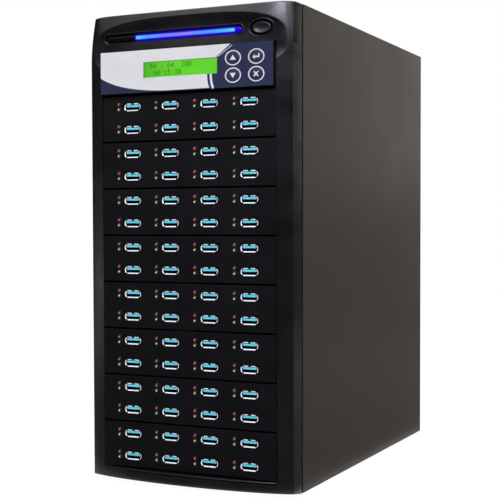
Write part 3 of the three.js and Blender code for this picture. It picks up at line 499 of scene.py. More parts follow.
def darker(code, share):
    """An sRGB hex colour as linear RGBA, at a share of its brightness."""
    return (*[channel * share for channel in linear(code)[:3]], 1.0)


def grained(name, colour, roughness, grain, depth, spread=0.05, specular=0.5, patch=25.0, metallic=0.0):
    """Moulded, painted or plated stock: a fine grain as bump, with a tint and a sheen that vary a little in
    broad patches. grain, depth and patch are in millimetres."""
    material, tree, surface, place = begin(name)
    fine = add(tree, "ShaderNodeTexNoise", {"Vector": place, "Scale": 1 / (grain * mm), "Detail": 2.0})
    broad = add(tree, "ShaderNodeTexNoise", {"Vector": place, "Scale": 1 / (patch * mm), "Detail": 3.0})
    bump = add(tree, "ShaderNodeBump", {"Height": fine.outputs[0], "Distance": depth * mm, "Strength": 0.6})
    sheen = add(tree, "ShaderNodeMapRange", {"Value": broad.outputs[0], "From Min": 0.3, "From Max": 0.7,
                                             "To Min": roughness - spread, "To Max": roughness + spread})
    tint = add(tree, "ShaderNodeMix", {"Factor": broad.outputs[0], 6: darker(colour, 0.86),
                                       7: linear(colour)}, data_type="RGBA")
    feed(surface, {"Base Color": tint.outputs[2], "Roughness": sheen.outputs[0], "Normal": bump.outputs[0],
                   "Specular IOR Level": specular, "Metallic": metallic})
    return material


# Black ABS with a soft sheen. Its spark-eroded grain is about 0.4 mm across, drawn coarser than life.
black_abs = grained("black_abs", "0e0e0f", 0.3, 0.7, 0.01)
lit_left, lit_right = -51.4, 45.6


def from_lit_stretch(tree, parted):
    """How far a point lies from the line along the bar that its lamps light, seen from the front."""
    across = parted.outputs[0]
    for operation, value in (("SUBTRACT", (lit_left + lit_right) / 2 * mm), ("ABSOLUTE", 0.0),
                             ("SUBTRACT", (lit_right - lit_left) / 2 * mm), ("MAXIMUM", 0.0)):
        across = add(tree, "ShaderNodeMath", {0: across, 1: value}, operation=operation).outputs[0]
    above = add(tree, "ShaderNodeMath", {0: parted.outputs[2], 1: bar_level * mm}, operation="SUBTRACT")
    away = add(tree, "ShaderNodeCombineXYZ", {0: across, 2: above.outputs[0]})
    return add(tree, "ShaderNodeVectorMath", {0: away.outputs[0]}, operation="LENGTH").outputs["Value"]


# Painted glow: the light that the bar spills onto the groove around it is painted into the moulding as its
# own emission, a deep blue that fades within a few millimetres
tree = black_abs.node_tree
parted = add(tree, "ShaderNodeSeparateXYZ", {0: add(tree, "ShaderNodeTexCoord").outputs["Object"]})
painted_spill_glow = add(tree, "ShaderNodeMapRange", {"Value": from_lit_stretch(tree, parted), "From Min": 1.6 * mm,
                                         "From Max": 4.8 * mm, "To Min": 1.0, "To Max": 0.0},
            interpolation_type="SMOOTHSTEP")
tone = add(tree, "ShaderNodeMix", {"Factor": painted_spill_glow.outputs[0], 6: (0, 0, 0, 1), 7: linear("1c00c0")},
           data_type="RGBA")
feed(tree.nodes["Principled BSDF"], {"Emission Color": tone.outputs[2], "Emission Strength": 0.9})
bezel.data.materials.clear()
made_of(black_abs, bezel)


def bead(name, outline, radius, sides=8):
    """A rounded rim that follows the scoop's floor along a closed outline in X and Z."""
    points = []
    for i, (x, _, z) in enumerate(outline):
        before, after = outline[i - 1], outline[(i + 1) % len(outline)]
        along = Vector((after[0] - before[0], after[2] - before[2])).normalized()
        height = z - bezel_bottom
        y = front_face(x / (bezel_half - side_flare), height) + scoop(x, height)
        points += [(x + radius * math.cos(turn) * along.y, y - radius * math.sin(turn),
                    z - radius * math.cos(turn) * along.x) for turn in turns_of(sides)]
    return made_of(black_abs, shade(outward(shape(name, points, skin(len(outline), sides, closed=True))), 60))


rim_margin, rim_radius, dish_rim_margin, dish_rim_radius = 0.25, 0.45, 0.8, 0.5
grow = 2 * (groove_margin + rim_margin)
groove_rim = bead("groove_rim", stadium(bar_length + grow, bar_height + grow, bar_centre, 0, bar_level),
                  rim_radius)
grow = 2 * dish_rim_margin
dish_rim = bead("dish_rim", oval(dish_width + grow, dish_height + grow, button_centre, 0, button_level),
                dish_rim_radius)

# The ledge under the lowest module is bevelled, and its bevel catches the light from above
bevel_right, bevel_low, bevel_high, bevel_steps = 86, window_low - 1.35, window_low - 0.3, 60
bevel_proud, bevel_set_back, bevel_root = 0.34, 0.13, 1.2
rings = []
for i in range(bevel_steps + 1):
    x = ledge_left + (bevel_right - ledge_left) * i / bevel_steps
    y = front_face(x / (bezel_half - side_flare), bevel_low - bezel_bottom)
    rings.append([(x, y - bevel_proud, bevel_low), (x, y + bevel_set_back, bevel_high),
                  (x, y + bevel_root, bevel_high), (x, y + bevel_root, bevel_low)])
ledge_bevel = made_of(black_abs, shade(loft("ledge_bevel", rings), 20))
bezel = merge("bowed_front_with_rims", [bezel, groove_rim, dish_rim, ledge_bevel])
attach(bezel, "tower")
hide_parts("front_bezel")


# Light bar
# An acrylic bar with a frosted face, moulded with a flange that holds it behind the scoop's groove. Lamps
# behind its middle light most of it, and its left end stays dark.

bar_front, bar_back, bar_flange, bar_seat = 1.8, 9.0, 1.2, groove_floor + wall + slot_gap
crown_inset, crown_share = 0.8, 0.3
bar_rings = [(-crown_inset, bar_front), (-crown_inset * crown_share, bar_front + crown_inset * crown_share),
             (0.0, bar_front + crown_inset), (0.0, bar_seat), (bar_flange, bar_seat), (bar_flange, bar_back)]
bar = loft("light_bar_clear", [stadium(bar_length + 2 * grow, bar_height + 2 * grow, bar_centre, y, bar_level)
                               for grow, y in bar_rings])
shade(bar, 40)

# Frosted acrylic, lit from behind: blue white at the lit ends, violet at the middle, deep blue at its edges
lit_acrylic, tree, surface, place = begin("lit_acrylic")
parted = add(tree, "ShaderNodeSeparateXYZ", {0: place})
along = add(tree, "ShaderNodeMapRange", {"Value": parted.outputs[0], "From Min": lit_left * mm,
                                         "From Max": lit_right * mm})
ramp = add(tree, "ShaderNodeValToRGB", {"Fac": along.outputs[0]})
ramp.color_ramp.elements[0].color = linear("62d4ff")
ramp.color_ramp.elements[1].color = linear("66d8ff")
for position, code in ((0.1, "4aa8ff"), (0.3, "7c80ff"), (0.5, "8c80ff"), (0.62, "6c90ff"), (0.75, "44a4ff"),
                       (0.93, "50bcff")):
    ramp.color_ramp.elements.new(position).color = linear(code)
edge = add(tree, "ShaderNodeMapRange", {"Value": from_lit_stretch(tree, parted), "From Min": 0.9 * mm,
                                        "From Max": 1.9 * mm})
core = add(tree, "ShaderNodeMix", {"Factor": edge.outputs[0], 6: ramp.outputs[0], 7: linear("2000d8")},
           data_type="RGBA")
off = add(tree, "ShaderNodeMapRange", {"Value": parted.outputs[0], "From Min": (lit_left - 4) * mm,
                                       "From Max": (lit_left - 0.5) * mm}, interpolation_type="SMOOTHSTEP")
light = add(tree, "ShaderNodeMix", {"Factor": off.outputs[0], 6: linear("04040a"), 7: core.outputs[2]},
            data_type="RGBA")
# The frosting is about 1.4 mm across, far coarser than life, so that it shows
haze = add(tree, "ShaderNodeTexNoise", {"Vector": place, "Scale": 700.0})
bump = add(tree, "ShaderNodeBump", {"Height": haze.outputs[0], "Distance": 0.01 * mm, "Strength": 0.4})
feed(surface, {"Emission Color": light.outputs[2], "Emission Strength": 1.0, "Normal": bump.outputs[0],
               "Base Color": linear("060608"), "Roughness": 0.22, "Specular IOR Level": 0.12})
made_of(lit_acrylic, bar)
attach(bar, "tower")
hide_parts("light_bar")


# Power button
# A domed oval cap of polished black ABS, moulded with a shallow dish in its crown. It slides in the moulded
# front's sleeve onto a small switch behind.

button_back = box_of("power_button")[1].y
# Share of the cap's width, and how far back: the side, its rounded edge and the dish
cap_profile = [(1.0, button_back), (1.0, 2.4), (0.99, 1.6), (0.97, 1.1), (0.94, 0.75), (0.9, 0.55),
               (0.86, 0.5), (0.8, 0.58), (0.7, 0.8), (0.55, 1.08), (0.36, 1.32), (0.15, 1.42)]
button = shade(loft("power_button_cap", [
    oval(button_width * share, button_height * share, button_centre, y, button_level, 72)
    for share, y in cap_profile]), 50)
# Polished black ABS, worn to a satin by fingers
polished_abs = grained("polished_abs", "1a1a1e", 0.36, 0.6, 0.006, spread=0.04)
made_of(polished_abs, button)
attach(button, "power_button")
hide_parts("power_button")


# Control panel
# A printed polyester sheet, white and navy, glued over a black faceplate. It is clear over the display, and
# each of its four holes for the keys has a white ring printed round it.

sheet_low, sheet_high = box_of("panel_overlay")
sheet_left, sheet_right, sheet_bottom, sheet_top = sheet_low.x, sheet_high.x, sheet_low.z, sheet_high.z
front, back = sheet_low.y, sheet_high.y
display_width, display_height, display_centre, display_level = 74.0, 14.0, -4.2, panel_top - 18.4
display_left, display_right = about(display_centre, display_width / 2)
display_bottom, display_top = about(display_level, display_height / 2)
display_edges = (display_left, display_right, display_bottom, display_top)
key_width, key_height, key_gap, ring_width, ring_height = 12.8, 10.8, 0.6, 2.8, 2.5
key_centres = {name: middle_of(name) for name in ("up_key", "down_key", "enter_key", "escape_key")}


def flat(name, material, front, back, outer, holes=()):
    """A thin body with an outline in X and Z, and holes through it."""
    loops = [list(outer), *[list(hole) for hole in holes]]
    corners = [point for loop in loops for point in loop]
    count = len(corners)
    cap = tessellate_polygon([[Vector((x, z, 0)) for x, z in loop] for loop in loops])
    faces = [tuple(face) for face in cap] + [tuple(i + count for i in face) for face in cap]
    start = 0
    for loop in loops:
        for i in range(len(loop)):
            a, b = start + i, start + (i + 1) % len(loop)
            faces.append((a, b, b + count, a + count))
        start += len(loop)
    points = [(x, y, z) for y in (front, back) for x, z in corners]
    return made_of(material, outward(shape(name, points, faces)))


def rectangle(left, right, bottom, top, grow=0.0):
    """The corners of a rectangle in X and Z, grown all round."""
    left, right, bottom, top = left - grow, right + grow, bottom - grow, top + grow
    return [(left, bottom), (right, bottom), (right, top), (left, top)]


def oval_loop(width, height, x, z):
    """The corners of an oval in X and Z."""
    return [(point[0], point[2]) for point in oval(width, height, x, 0, z, 48)]


def curve(start, bend, end, steps=16):
    """Points on a parabola from start to end that is pulled towards bend."""
    return [tuple((1 - t) ** 2 * start[k] + 2 * t * (1 - t) * bend[k] + t ** 2 * end[k] for k in (0, 1))
            for t in (i / steps for i in range(steps + 1))]


def band(points, width):
    """The outline of a line of that width along points."""
    left, right = [], []
    for i, (x, z) in enumerate(points):
        before, after = points[max(i - 1, 0)], points[min(i + 1, len(points) - 1)]
        aside = Vector((after[0] - before[0], after[1] - before[1])).normalized() * width / 2
        left.append((x - aside.y, z + aside.x))
        right.append((x + aside.y, z - aside.x))
    return left + right[::-1]


# Navy begins at a slant beside the display, at a bent line below it, and at a sweep in the lower left corner
slant_top, slant_foot = (46.2, sheet_top), (display_right - 1.2, display_top)
low_edge = sheet_bottom + 0.6
strip_top, strip_bottom = (23.2, display_bottom), (25.4, low_edge)
sweep = curve((sheet_left, sheet_bottom + 14.8), (-66.0, sheet_bottom + 2.2), (-20.0, low_edge))
strip = curve(strip_top, (23.1, (display_bottom + sheet_bottom) / 2 - 1), strip_bottom)
strip_foot = (strip_bottom[0], sheet_bottom)
white_field = [(sheet_left, sheet_top), *sweep, *strip[::-1], (display_left, display_bottom),
               (display_left, display_top), slant_foot, slant_top]
sweep_field = [*sweep, strip_bottom, strip_foot, (sheet_left, sheet_bottom)]
navy_field = [slant_top, slant_foot, (display_right, display_top), (display_right, display_bottom), *strip,
              strip_foot, (sheet_right, sheet_bottom), (sheet_right, sheet_top)]
rings, key_holes = [
    [oval_loop(key_width + wider, key_height + higher, *centre) for centre in key_centres.values()]
    for wider, higher in ((ring_width, ring_height), (key_gap, key_gap))]
slant = [(slant_foot[0] + 1.6, display_top + 0.2), (slant_top[0] + 1.4, sheet_top - 1.4)]
slant_width, stripe_width, stripe_aside = 0.5, 2.2, 3.5
stripe = [(x + stripe_aside, z) for x, z in strip]
stripe.append((stripe[-1][0] + 0.4, sheet_bottom + 0.1))

# Polyester, printed from behind: an even colour under a clear satin face
white_ink = grained("white_ink", "f2f0ec", 0.34, 0.5, 0.004, spread=0.03, specular=0.35)
navy_ink = grained("navy_ink", "2f3450", 0.34, 0.5, 0.004, spread=0.03, specular=0.3)
line_ink = grained("line_ink", "f2f2f4", 0.34, 0.5, 0.004, spread=0.03, specular=0.35)
ink_front, ink_back = front - 0.02, front + 0.1
overlay = merge("printed_sheet", [
    flat("white", white_ink, front, back, white_field),
    flat("sweep", navy_ink, front, back, sweep_field),
    flat("navy", navy_ink, front, back, navy_field, rings),
    flat("slant", line_ink, ink_front, ink_back, band(slant, slant_width)),
    flat("stripe", line_ink, ink_front, ink_back, band(stripe, stripe_width)),
    *[flat("ring", line_ink, front, back, ring, [hole]) for ring, hole in zip(rings, key_holes)],
])
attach(overlay, "tower")

# Clear polyester, a little hazy: the display shows through it under a weak sheen
clear_film, tree, surface, place = begin("clear_film")
haze = add(tree, "ShaderNodeTexNoise", {"Vector": place, "Scale": 300.0})
level = add(tree, "ShaderNodeMapRange", {"Value": haze.outputs[0], "To Min": 0.05, "To Max": 0.1})
feed(surface, {"Roughness": level.outputs[0], "Base Color": (0.96, 0.99, 0.96, 1), "Transmission Weight": 1.0,
               "IOR": 1.2, "Specular IOR Level": 0.2})
window = flat("clear_window", clear_film, front + 0.05, back, rectangle(*display_edges))
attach(window, "tower")
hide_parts("panel_overlay")


# Display
# A green backlit character display: glass in a bent steel frame, which is clinched to its own board. Dark
# cells of liquid crystal form plain figures.

glass_front = box_of("display_module")[0].y
frame_front, frame_back, board_thickness = glass_front + 3.0, glass_front + 9.5, 1.6
glass_back, frame_margin, board_margin = glass_front + 4.5, 5.0, 9.0
# Glass lit green from behind, a little patchy, and darker towards its left end
lit_glass, tree, surface, place = begin("lit_glass")
parted = add(tree, "ShaderNodeSeparateXYZ", {0: place})
green = mottled(tree, place, 60.0, linear("58c820"), linear("68d82e"), detail=1.0)
dim = add(tree, "ShaderNodeMapRange", {"Value": parted.outputs[0], "From Min": display_left * mm,
                                       "From Max": (display_left + 26) * mm, "To Min": 0.72, "To Max": 1.0})
tone = add(tree, "ShaderNodeVectorMath", {0: green, "Scale": dim.outputs[0]}, operation="SCALE")
feed(surface, {"Emission Color": tone.outputs[0], "Emission Strength": 0.95, "Base Color": linear("1e4a10"),
               "Roughness": 0.3})
# Switched cells pass little of that light: dark green, with a fine grit
dark_cell, tree, surface, place = begin("dark_cell")
tone = mottled(tree, place, 900.0, linear("1c5c08"), linear("246c10"))
feed(surface, {"Emission Color": tone, "Emission Strength": 0.8, "Base Color": linear("102806")})

# Each figure is seven rows of five cells
figures = {
    "0": "01110 10001 10011 10101 11001 10001 01110", "1": "00100 01100 00100 00100 00100 00100 01110",
    "3": "01110 10001 00001 00110 00001 10001 01110", "4": "00010 00110 01010 10010 11111 00010 00010",
    "5": "11111 10000 11110 00001 00001 10001 01110", "6": "01110 10000 11110 10001 10001 10001 01110",
    ":": "00000 00100 00100 00000 00100 00100 00000", " ": "00000 00000 00000 00000 00000 00000 00000",
}
cell_width, cell_height, row_step, character_step, line_step = 0.56, 0.616, 0.64, 3.55, 6.3
text_left, text_top, cell_lift = display_left + 3, display_top - 1.6, 0.04
points = []
for line, text in enumerate((" 64 : 64  100", "  00:15:30")):
    for position, character in enumerate(text):
        for row, cells_of_row in enumerate(figures[character].split()):
            for column, switched in enumerate(cells_of_row):
                if switched == "1":
                    x = text_left + position * character_step + column * cell_width
                    z = text_top - line * line_step - row * row_step
                    points += [(a, glass_front - cell_lift, b)
                               for a, b in rectangle(x, x + cell_width, z - cell_height, z)]
cells = made_of(dark_cell, shape("cells", points, [tuple(range(i, i + 4)) for i in range(0, len(points), 4)]))
glass = flat("glass", lit_glass, glass_front, glass_back, rectangle(*display_edges, grow=-0.3))
# Zinc coated sheet: a dull metal with a faint spangle in broad patches
bare_steel = grained("zinc_coated_steel", "8d9094", 0.4, 1.5, 0.004, spread=0.08, metallic=1.0)
steel_frame = flat("steel_frame", bare_steel, frame_front, frame_back,
                   rectangle(*display_edges, grow=frame_margin), [rectangle(*display_edges)])
# Green lacquer over glass cloth, shiny, with a fine unevenness from the cloth
board_green = grained("green_lacquer", "1a5230", 0.35, 0.9, 0.02)
display_board = flat("display_board", board_green, frame_back, frame_back + board_thickness,
                     rectangle(*display_edges, grow=board_margin))
display = merge("character_display", [glass, cells, steel_frame, display_board])
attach(display, "tower")
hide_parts("display_module")


# Keys
# Four oval keys in the navy field, each a moulded cap with a white printed sign: up, down, accept and back.
# Two wings at a cap's back keep it behind the faceplate, and its stem presses a switch.

# Navy ABS, polished but worn to a satin
navy_cap = grained("navy_cap", "30344f", 0.32, 0.5, 0.006, spread=0.04)
signs = {
    "up_key": [(-2.9, -1.9), (2.9, -1.9), (0, 2.6)],
    "down_key": [(-2.9, 1.9), (0, -2.6), (2.9, 1.9)],
    "enter_key": [(-3.4, -0.4), (-1.2, -2.6), (-1.2, -1.1), (3.3, -1.1), (3.3, 2.2), (1.9, 2.2), (1.9, 0.3),
                  (-1.2, 0.3), (-1.2, 1.8)],
    "escape_key": [(-2.6, -1.7), (-1.7, -2.6), (0, -0.9), (1.7, -2.6), (2.6, -1.7), (0.9, 0), (2.6, 1.7),
                   (1.7, 2.6), (0, 0.9), (-1.7, 2.6), (-2.6, 1.7), (-0.9, 0)],
}
cap_depth, wing_reach, wing_thickness, stem_half, sign_lift = 5.2, 0.9, 1.0, 2.0, 0.015
# Share of the cap's width, and how far back: a flat crown with a rounded edge, and the side
key_profile = [(0.5, 0.0), (0.86, 0.03), (0.94, 0.09), (0.985, 0.22), (1.0, 0.45), (1.0, cap_depth)]
for name, (x, z) in key_centres.items():
    low, high = box_of(name)
    cap_back, stem_sides = low.y + cap_depth, about(z, stem_half)
    cap = loft("cap", [oval(key_width * share, key_height * share, x, low.y + depth, z, 48)
                       for share, depth in key_profile])
    shade(cap, 45)
    wings = block("wings", about(x, key_width / 2 + wing_reach), (cap_back - wing_thickness, cap_back),
                  stem_sides)
    stem = block("stem", about(x, stem_half), (cap_back - 0.1, high.y), stem_sides)
    sign = flat("sign", line_ink, low.y - sign_lift, low.y + 0.2, [(x + a, z + b) for a, b in signs[name]])
    key = merge(name + "_cap", [*[made_of(navy_cap, part) for part in (cap, wings, stem)], sign])
    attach(key, name)
    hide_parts(name)


# Control panel's faceplate
# Injection moulded black ABS with a hole for the display and four for the keys. It screws to its tray's
# cheeks, and the printed sheet is glued over it.

# ABS from an etched mould: matt black with a fine grain
matt_abs = grained("matt_abs", "0f0f11", 0.46, 0.55, 0.01, spread=0.05, specular=0.16)


def rounded(piece, width, degrees=30):
    """Takes the edge off every corner of a body and smooths it. Its normals follow the big faces, so that
    flat stock looks flat beside its small rounded edges."""
    step = piece.modifiers.new("edges", "BEVEL")
    step.width = width * mm
    step.segments = 2
    step.limit_method = "ANGLE"
    step.angle_limit = math.radians(degrees)
    step.harden_normals = False
    shade(settle(piece), 50)
    step = piece.modifiers.new("even", "WEIGHTED_NORMAL")
    step.keep_sharp = True
    return settle(piece)


def refined(node, width, material, degrees=30):
    """A merged copy of a CAD piece with its edges taken off, in its place."""
    made = placed(node + "_finished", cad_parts[node].data.copy())
    made.data.transform(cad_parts[node].matrix_world)
    work = bmesh.new()
    work.from_mesh(made.data)
    bmesh.ops.remove_doubles(work, verts=work.verts, dist=0.00001)
    bmesh.ops.dissolve_limit(work, angle_limit=math.radians(0.5), verts=work.verts, edges=work.edges)
    work.to_mesh(made.data)
    work.free()
    rounded(made, width, degrees)
    made.data.materials.clear()
    made_of(material, made)
    for polygon in made.data.polygons:
        polygon.material_index = 0
    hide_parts(node)
    return made


panel_plate = refined("control_faceplate", 0.3, matt_abs)
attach(panel_plate, "tower")


# USB modules
# Each is a moulded black faceplate over a board with eight sockets, in two rows of four. A red and a green
# light stand beside each socket. The sockets' drawn steel shells flare out into lips in front of the plate.


def copies_tree(name, more_inputs, points_of):
    """Geometry nodes that set a copy of one piece on each of some points, as one mesh."""
    tree = bpy.data.node_groups.new(name, "GeometryNodeTree")
    for label, kind in (("Geometry", "Geometry"), ("Piece", "Object"), ("Finish", "Material"), *more_inputs):
        tree.interface.new_socket(label, in_out="INPUT", socket_type="NodeSocket" + kind)
    tree.interface.new_socket("Geometry", in_out="OUTPUT", socket_type="NodeSocketGeometry")
    given = add(tree, "NodeGroupInput").outputs
    source = add(tree, "GeometryNodeObjectInfo", {"Object": given["Piece"]})
    copies = add(tree, "GeometryNodeInstanceOnPoints", {"Points": points_of(tree, given),
                                                        "Instance": source.outputs["Geometry"]})
    real = add(tree, "GeometryNodeRealizeInstances", {"Geometry": copies.outputs[0]})
    finished = add(tree, "GeometryNodeSetMaterial", {"Geometry": real.outputs[0],
                                                     "Material": given["Finish"]})
    add(tree, "NodeGroupOutput", {"Geometry": finished.outputs[0]})
    return tree


def upright_grid(tree, given):
    """Points on an upright grid round a centre."""
    spans = []
    for count, spacing in (("Columns", "Column spacing"), ("Rows", "Row spacing")):
        gaps = add(tree, "ShaderNodeMath", {0: given[count], 1: 1.0}, operation="SUBTRACT")
        span = add(tree, "ShaderNodeMath", {0: gaps.outputs[0], 1: given[spacing]}, operation="MULTIPLY")
        spans.append(span.outputs[0])
    grid = add(tree, "GeometryNodeMeshGrid", {"Size X": spans[0], "Size Y": spans[1],
                                              "Vertices X": given["Columns"], "Vertices Y": given["Rows"]})
    upright = add(tree, "GeometryNodeTransform", {"Geometry": grid.outputs["Mesh"],
                                                  "Translation": given["Centre"],
                                                  "Rotation": Euler((math.pi / 2, 0, 0))})
    return upright.outputs["Geometry"]


copies_on_grid = copies_tree(
    "upright_grid", [("Columns", "Int"), ("Rows", "Int"), ("Column spacing", "Float"),
                     ("Row spacing", "Float"), ("Centre", "Vector")], upright_grid)
copies_on_points = copies_tree("on_points", [], lambda tree, given: given["Geometry"])


def grown(tree, values, points=()):
    """The plain mesh that a tree makes of its named inputs and a few starting points in millimetres."""
    made = shape("copies", points, [])
    step = made.modifiers.new("grown", "NODES")
    step.node_group = tree
    for item in tree.interface.items_tree:
        if item.in_out == "INPUT" and item.name in values:
            step[item.identifier] = values[item.name]
    return settle(made)


def gathered(name, bodies):
    """Several closed bodies as one mesh round the origin, from millimetres."""
    points, faces = [], []
    for body_points, body_faces in bodies:
        faces += [tuple(i + len(points) for i in face) for face in body_faces]
        points += [Vector(point) * mm for point in body_points]
    return outward(facets(name, points, faces))


def bar_body(x, y, z, taper=0.0):
    """A block whose front end is narrower by taper all round."""
    rings = [[(a, depth, b) for a, b in rectangle(*x, *z, grow)]
             for grow, depth in ((-taper, y[0]), (0.0, y[0] + taper), (0.0, y[1]))]
    return sum(rings, []), [(0, 1, 2, 3), (8, 9, 10, 11), *skin(3, 4)]


column_spacing, row_spacing, grid_offset = 39.07, 20.49, 3.3
mouth_width, mouth_height, shell_wall = 15.1, 5.0, 0.3
half_width, half_height = mouth_width / 2, mouth_height / 2
flare_width, flare_height, flare_front, flare_back, flare_power = 16.9, 6.9, -0.4, 0.3, 0.6
lip_gap, notch, side_bow = 1.8, 2.7, 1.0
board_front, shell_back = 13.0, 13.2


def lip(side, low, high, steps=5, along=4):
    """One flared lip. side is which edge of the mouth it grows from, low and high are its ends along it."""
    upright = side in ("left", "right")
    sign = 1 if side in ("top", "right") else -1
    inner = half_width if upright else half_height
    outer = (flare_width if upright else flare_height) / 2
    points, faces = [], []
    for layer in (0.0, shell_wall):
        for turn in (math.pi / 2 * i / steps for i in range(steps + 1)):
            for share in (j / along for j in range(along + 1)):
                bow = -side_bow * (2 * share - 1) ** 2 if upright else 0.0
                flare = (outer - inner) * (1 - math.cos(turn)) ** flare_power
                out = inner + bow + layer * math.cos(turn) + flare
                depth = flare_back - (flare_back - flare_front - layer) * math.sin(turn)
                beside = low + (high - low) * share
                points.append((sign * out, depth, beside) if upright else (beside, depth, sign * out))
    width = along + 1
    count = (steps + 1) * width
    for a in (i * width + j for i in range(steps) for j in range(along)):
        quad = (a, a + 1, a + 1 + width, a + width)
        faces += [quad, tuple(i + count for i in quad)]
    border = [*range(along), *range(along, count - 1, width), *range(count - 1, count - 1 - along, -1),
              *range(count - width, 0, -width)]
    faces += [(a, b, b + count, a + count) for a, b in zip(border, border[1:] + border[:1])]
    return points, faces


def shell_tube():
    """The socket's drawn steel tube, open at the front."""
    walls = ((shell_wall, flare_back), (shell_wall, shell_back), (0.0, shell_back), (0.0, flare_back))
    rings = [[(x, y, z) for x, z in rectangle(*about(0, half_width), *about(0, half_height), grow)]
             for grow, y in walls]
    return sum(rings, []), skin(4, 4, closed=True)


def dome(radius, rise, front, ring_count=4, sides=14):
    """A low dome on a short stem, its crown forwards."""
    profile = [(radius * math.sin(turn), front - rise * math.cos(turn))
               for turn in (math.pi / 2 * k / ring_count for k in range(1, ring_count + 1))]
    profile.append((radius, front + 1.2))
    points = [(0.0, front - rise, 0.0)]
    points += [(far * math.cos(turn), y, far * math.sin(turn))
               for far, y in profile for turn in turns_of(sides)]
    faces = [(0, 1 + i, 1 + (i + 1) % sides) for i in range(sides)]
    faces += [tuple(i + 1 for i in face) for face in skin(ring_count + 1, sides)]
    faces.append(tuple(range(1 + ring_count * sides, 1 + (ring_count + 1) * sides)))
    return points, faces


tongue_low, tongue_high, tongue_front, tongue_back, tongue_half = 0.1, 2.0, 0.3, 11.8, 6.6
contact_half, contact_proud, contact_set_back = 0.5, 0.12, 0.9
source_lips = shade(gathered("source_lips", [
    lip("bottom", -half_width + lip_gap, half_width - lip_gap),
    lip("top", -half_width + lip_gap, -notch / 2),
    lip("top", notch / 2, half_width - lip_gap),
    lip("left", -half_height, half_height, along=8),
    lip("right", -half_height, half_height, along=8),
]), 50)
source_shell = gathered("source_shell", [shell_tube()])
source_tongue = gathered("source_tongue", [
    bar_body(about(0, tongue_half), (tongue_front, tongue_back), (tongue_low, tongue_high), taper=0.2)])
source_contacts = gathered("source_contacts", [
    bar_body(about(x, contact_half), (tongue_front + contact_set_back, tongue_back - 0.2),
             (tongue_low - contact_proud, tongue_low + 0.05)) for x in (-4.1, -1.2, 1.2, 4.1)])
source_floor = gathered("source_floor", [bar_body(about(0, half_width), (10.6, 12.2), about(0, half_height))])
light_radius, light_offset, light_spacing, light_rise = 1.85, -14.7, 4.7, 0.6
source_light = shade(gathered("source_light", [dome(light_radius, 0.45, 0.0)]), 50)
source_core = shade(gathered("source_core", [dome(light_radius * 0.38, 0.3, -0.3)]), 50)

# Bright nickel on drawn steel: draw lines along the shell, a few times coarser than life, and a sheen that
# wanders.
# A near white colour and a little light of their own are a painted reflection of the bright studio that such
# small curved lips catch from all around.
nickel, tree, surface, place = begin("nickel_with_painted_reflection")
stretched = add(tree, "ShaderNodeMapping", {"Vector": place, "Scale": (900, 250, 3200)})
draw_lines = add(tree, "ShaderNodeTexNoise", {"Vector": stretched.outputs[0], "Scale": 1.0, "Detail": 2.0})
sheen = add(tree, "ShaderNodeMapRange", {"Value": draw_lines.outputs[0], "To Min": 0.2, "To Max": 0.36})
bump = add(tree, "ShaderNodeBump", {"Height": draw_lines.outputs[0], "Distance": 0.004 * mm, "Strength": 0.3})
feed(surface, {"Roughness": sheen.outputs[0], "Normal": bump.outputs[0], "Base Color": linear("fafaff"),
               "Metallic": 0.2, "Emission Color": linear("f4f4ff"), "Emission Strength": 0.15})
# Further in, the drawn shell is painted near black: painted shade for the little light that reaches inside
# the socket
painted_shade_shell = grained("painted_shade_shell", "1c1c20", 0.45, 0.8, 0.003, metallic=0.8)
# The insulator is smooth, in the bright blue green of fast sockets. Its contacts shine yellow, and the
# socket's back is dull black.
blue_nylon = grained("blue_nylon", "66ecff", 0.3, 0.6, 0.004)
gold_plate = grained("gold_plate", "d8a850", 0.3, 0.8, 0.002, metallic=1.0)
black_nylon = grained("black_nylon", "08080a", 0.55, 0.6, 0.004, specular=0.2)


def lit_epoxy(name, body, glow, strength):
    """Cloudy epoxy that glows a little unevenly."""
    material, tree, surface, place = begin(name)
    feed(surface, {"Emission Color": mottled(tree, place, 800.0, darker(glow, 0.75), linear(glow)),
                   "Emission Strength": strength, "Base Color": linear(body), "Roughness": 0.3})
    return material


# what is seen, its finish, and on which side of the socket's middle: a dark rim round a pale lit core
lights_of_socket = [
    (source_light, lit_epoxy("red_epoxy", "180406", "5c0c14", 0.6), 1),
    (source_core, lit_epoxy("lit_red", "601010", "cc8c88", 1.0), 1),
    (source_light, lit_epoxy("green_epoxy", "041405", "1c4a14", 0.6), -1),
    (source_core, lit_epoxy("lit_green", "305020", "e4f4d2", 1.1), -1),
]
parts_of_socket = [(source_lips, nickel), (source_shell, painted_shade_shell), (source_tongue, blue_nylon),
                   (source_contacts, gold_plate), (source_floor, black_nylon)]
plate_depth, mouth_gap, cheek_gap, cheek_wall, cheek_half = 3, 0.4, 0.2, 2, 16
card_back, hub_half_width, hub_half_height = board_front + 1.6, 12, 4


def at_sockets(source, finish, x, z):
    """A copy of a piece at each of a module's eight sockets, around this middle."""
    return grown(copies_on_grid, {"Piece": source, "Finish": finish, "Columns": 4, "Rows": 2,
                                  "Column spacing": column_spacing * mm, "Row spacing": row_spacing * mm,
                                  "Centre": at(x, 0, z)})


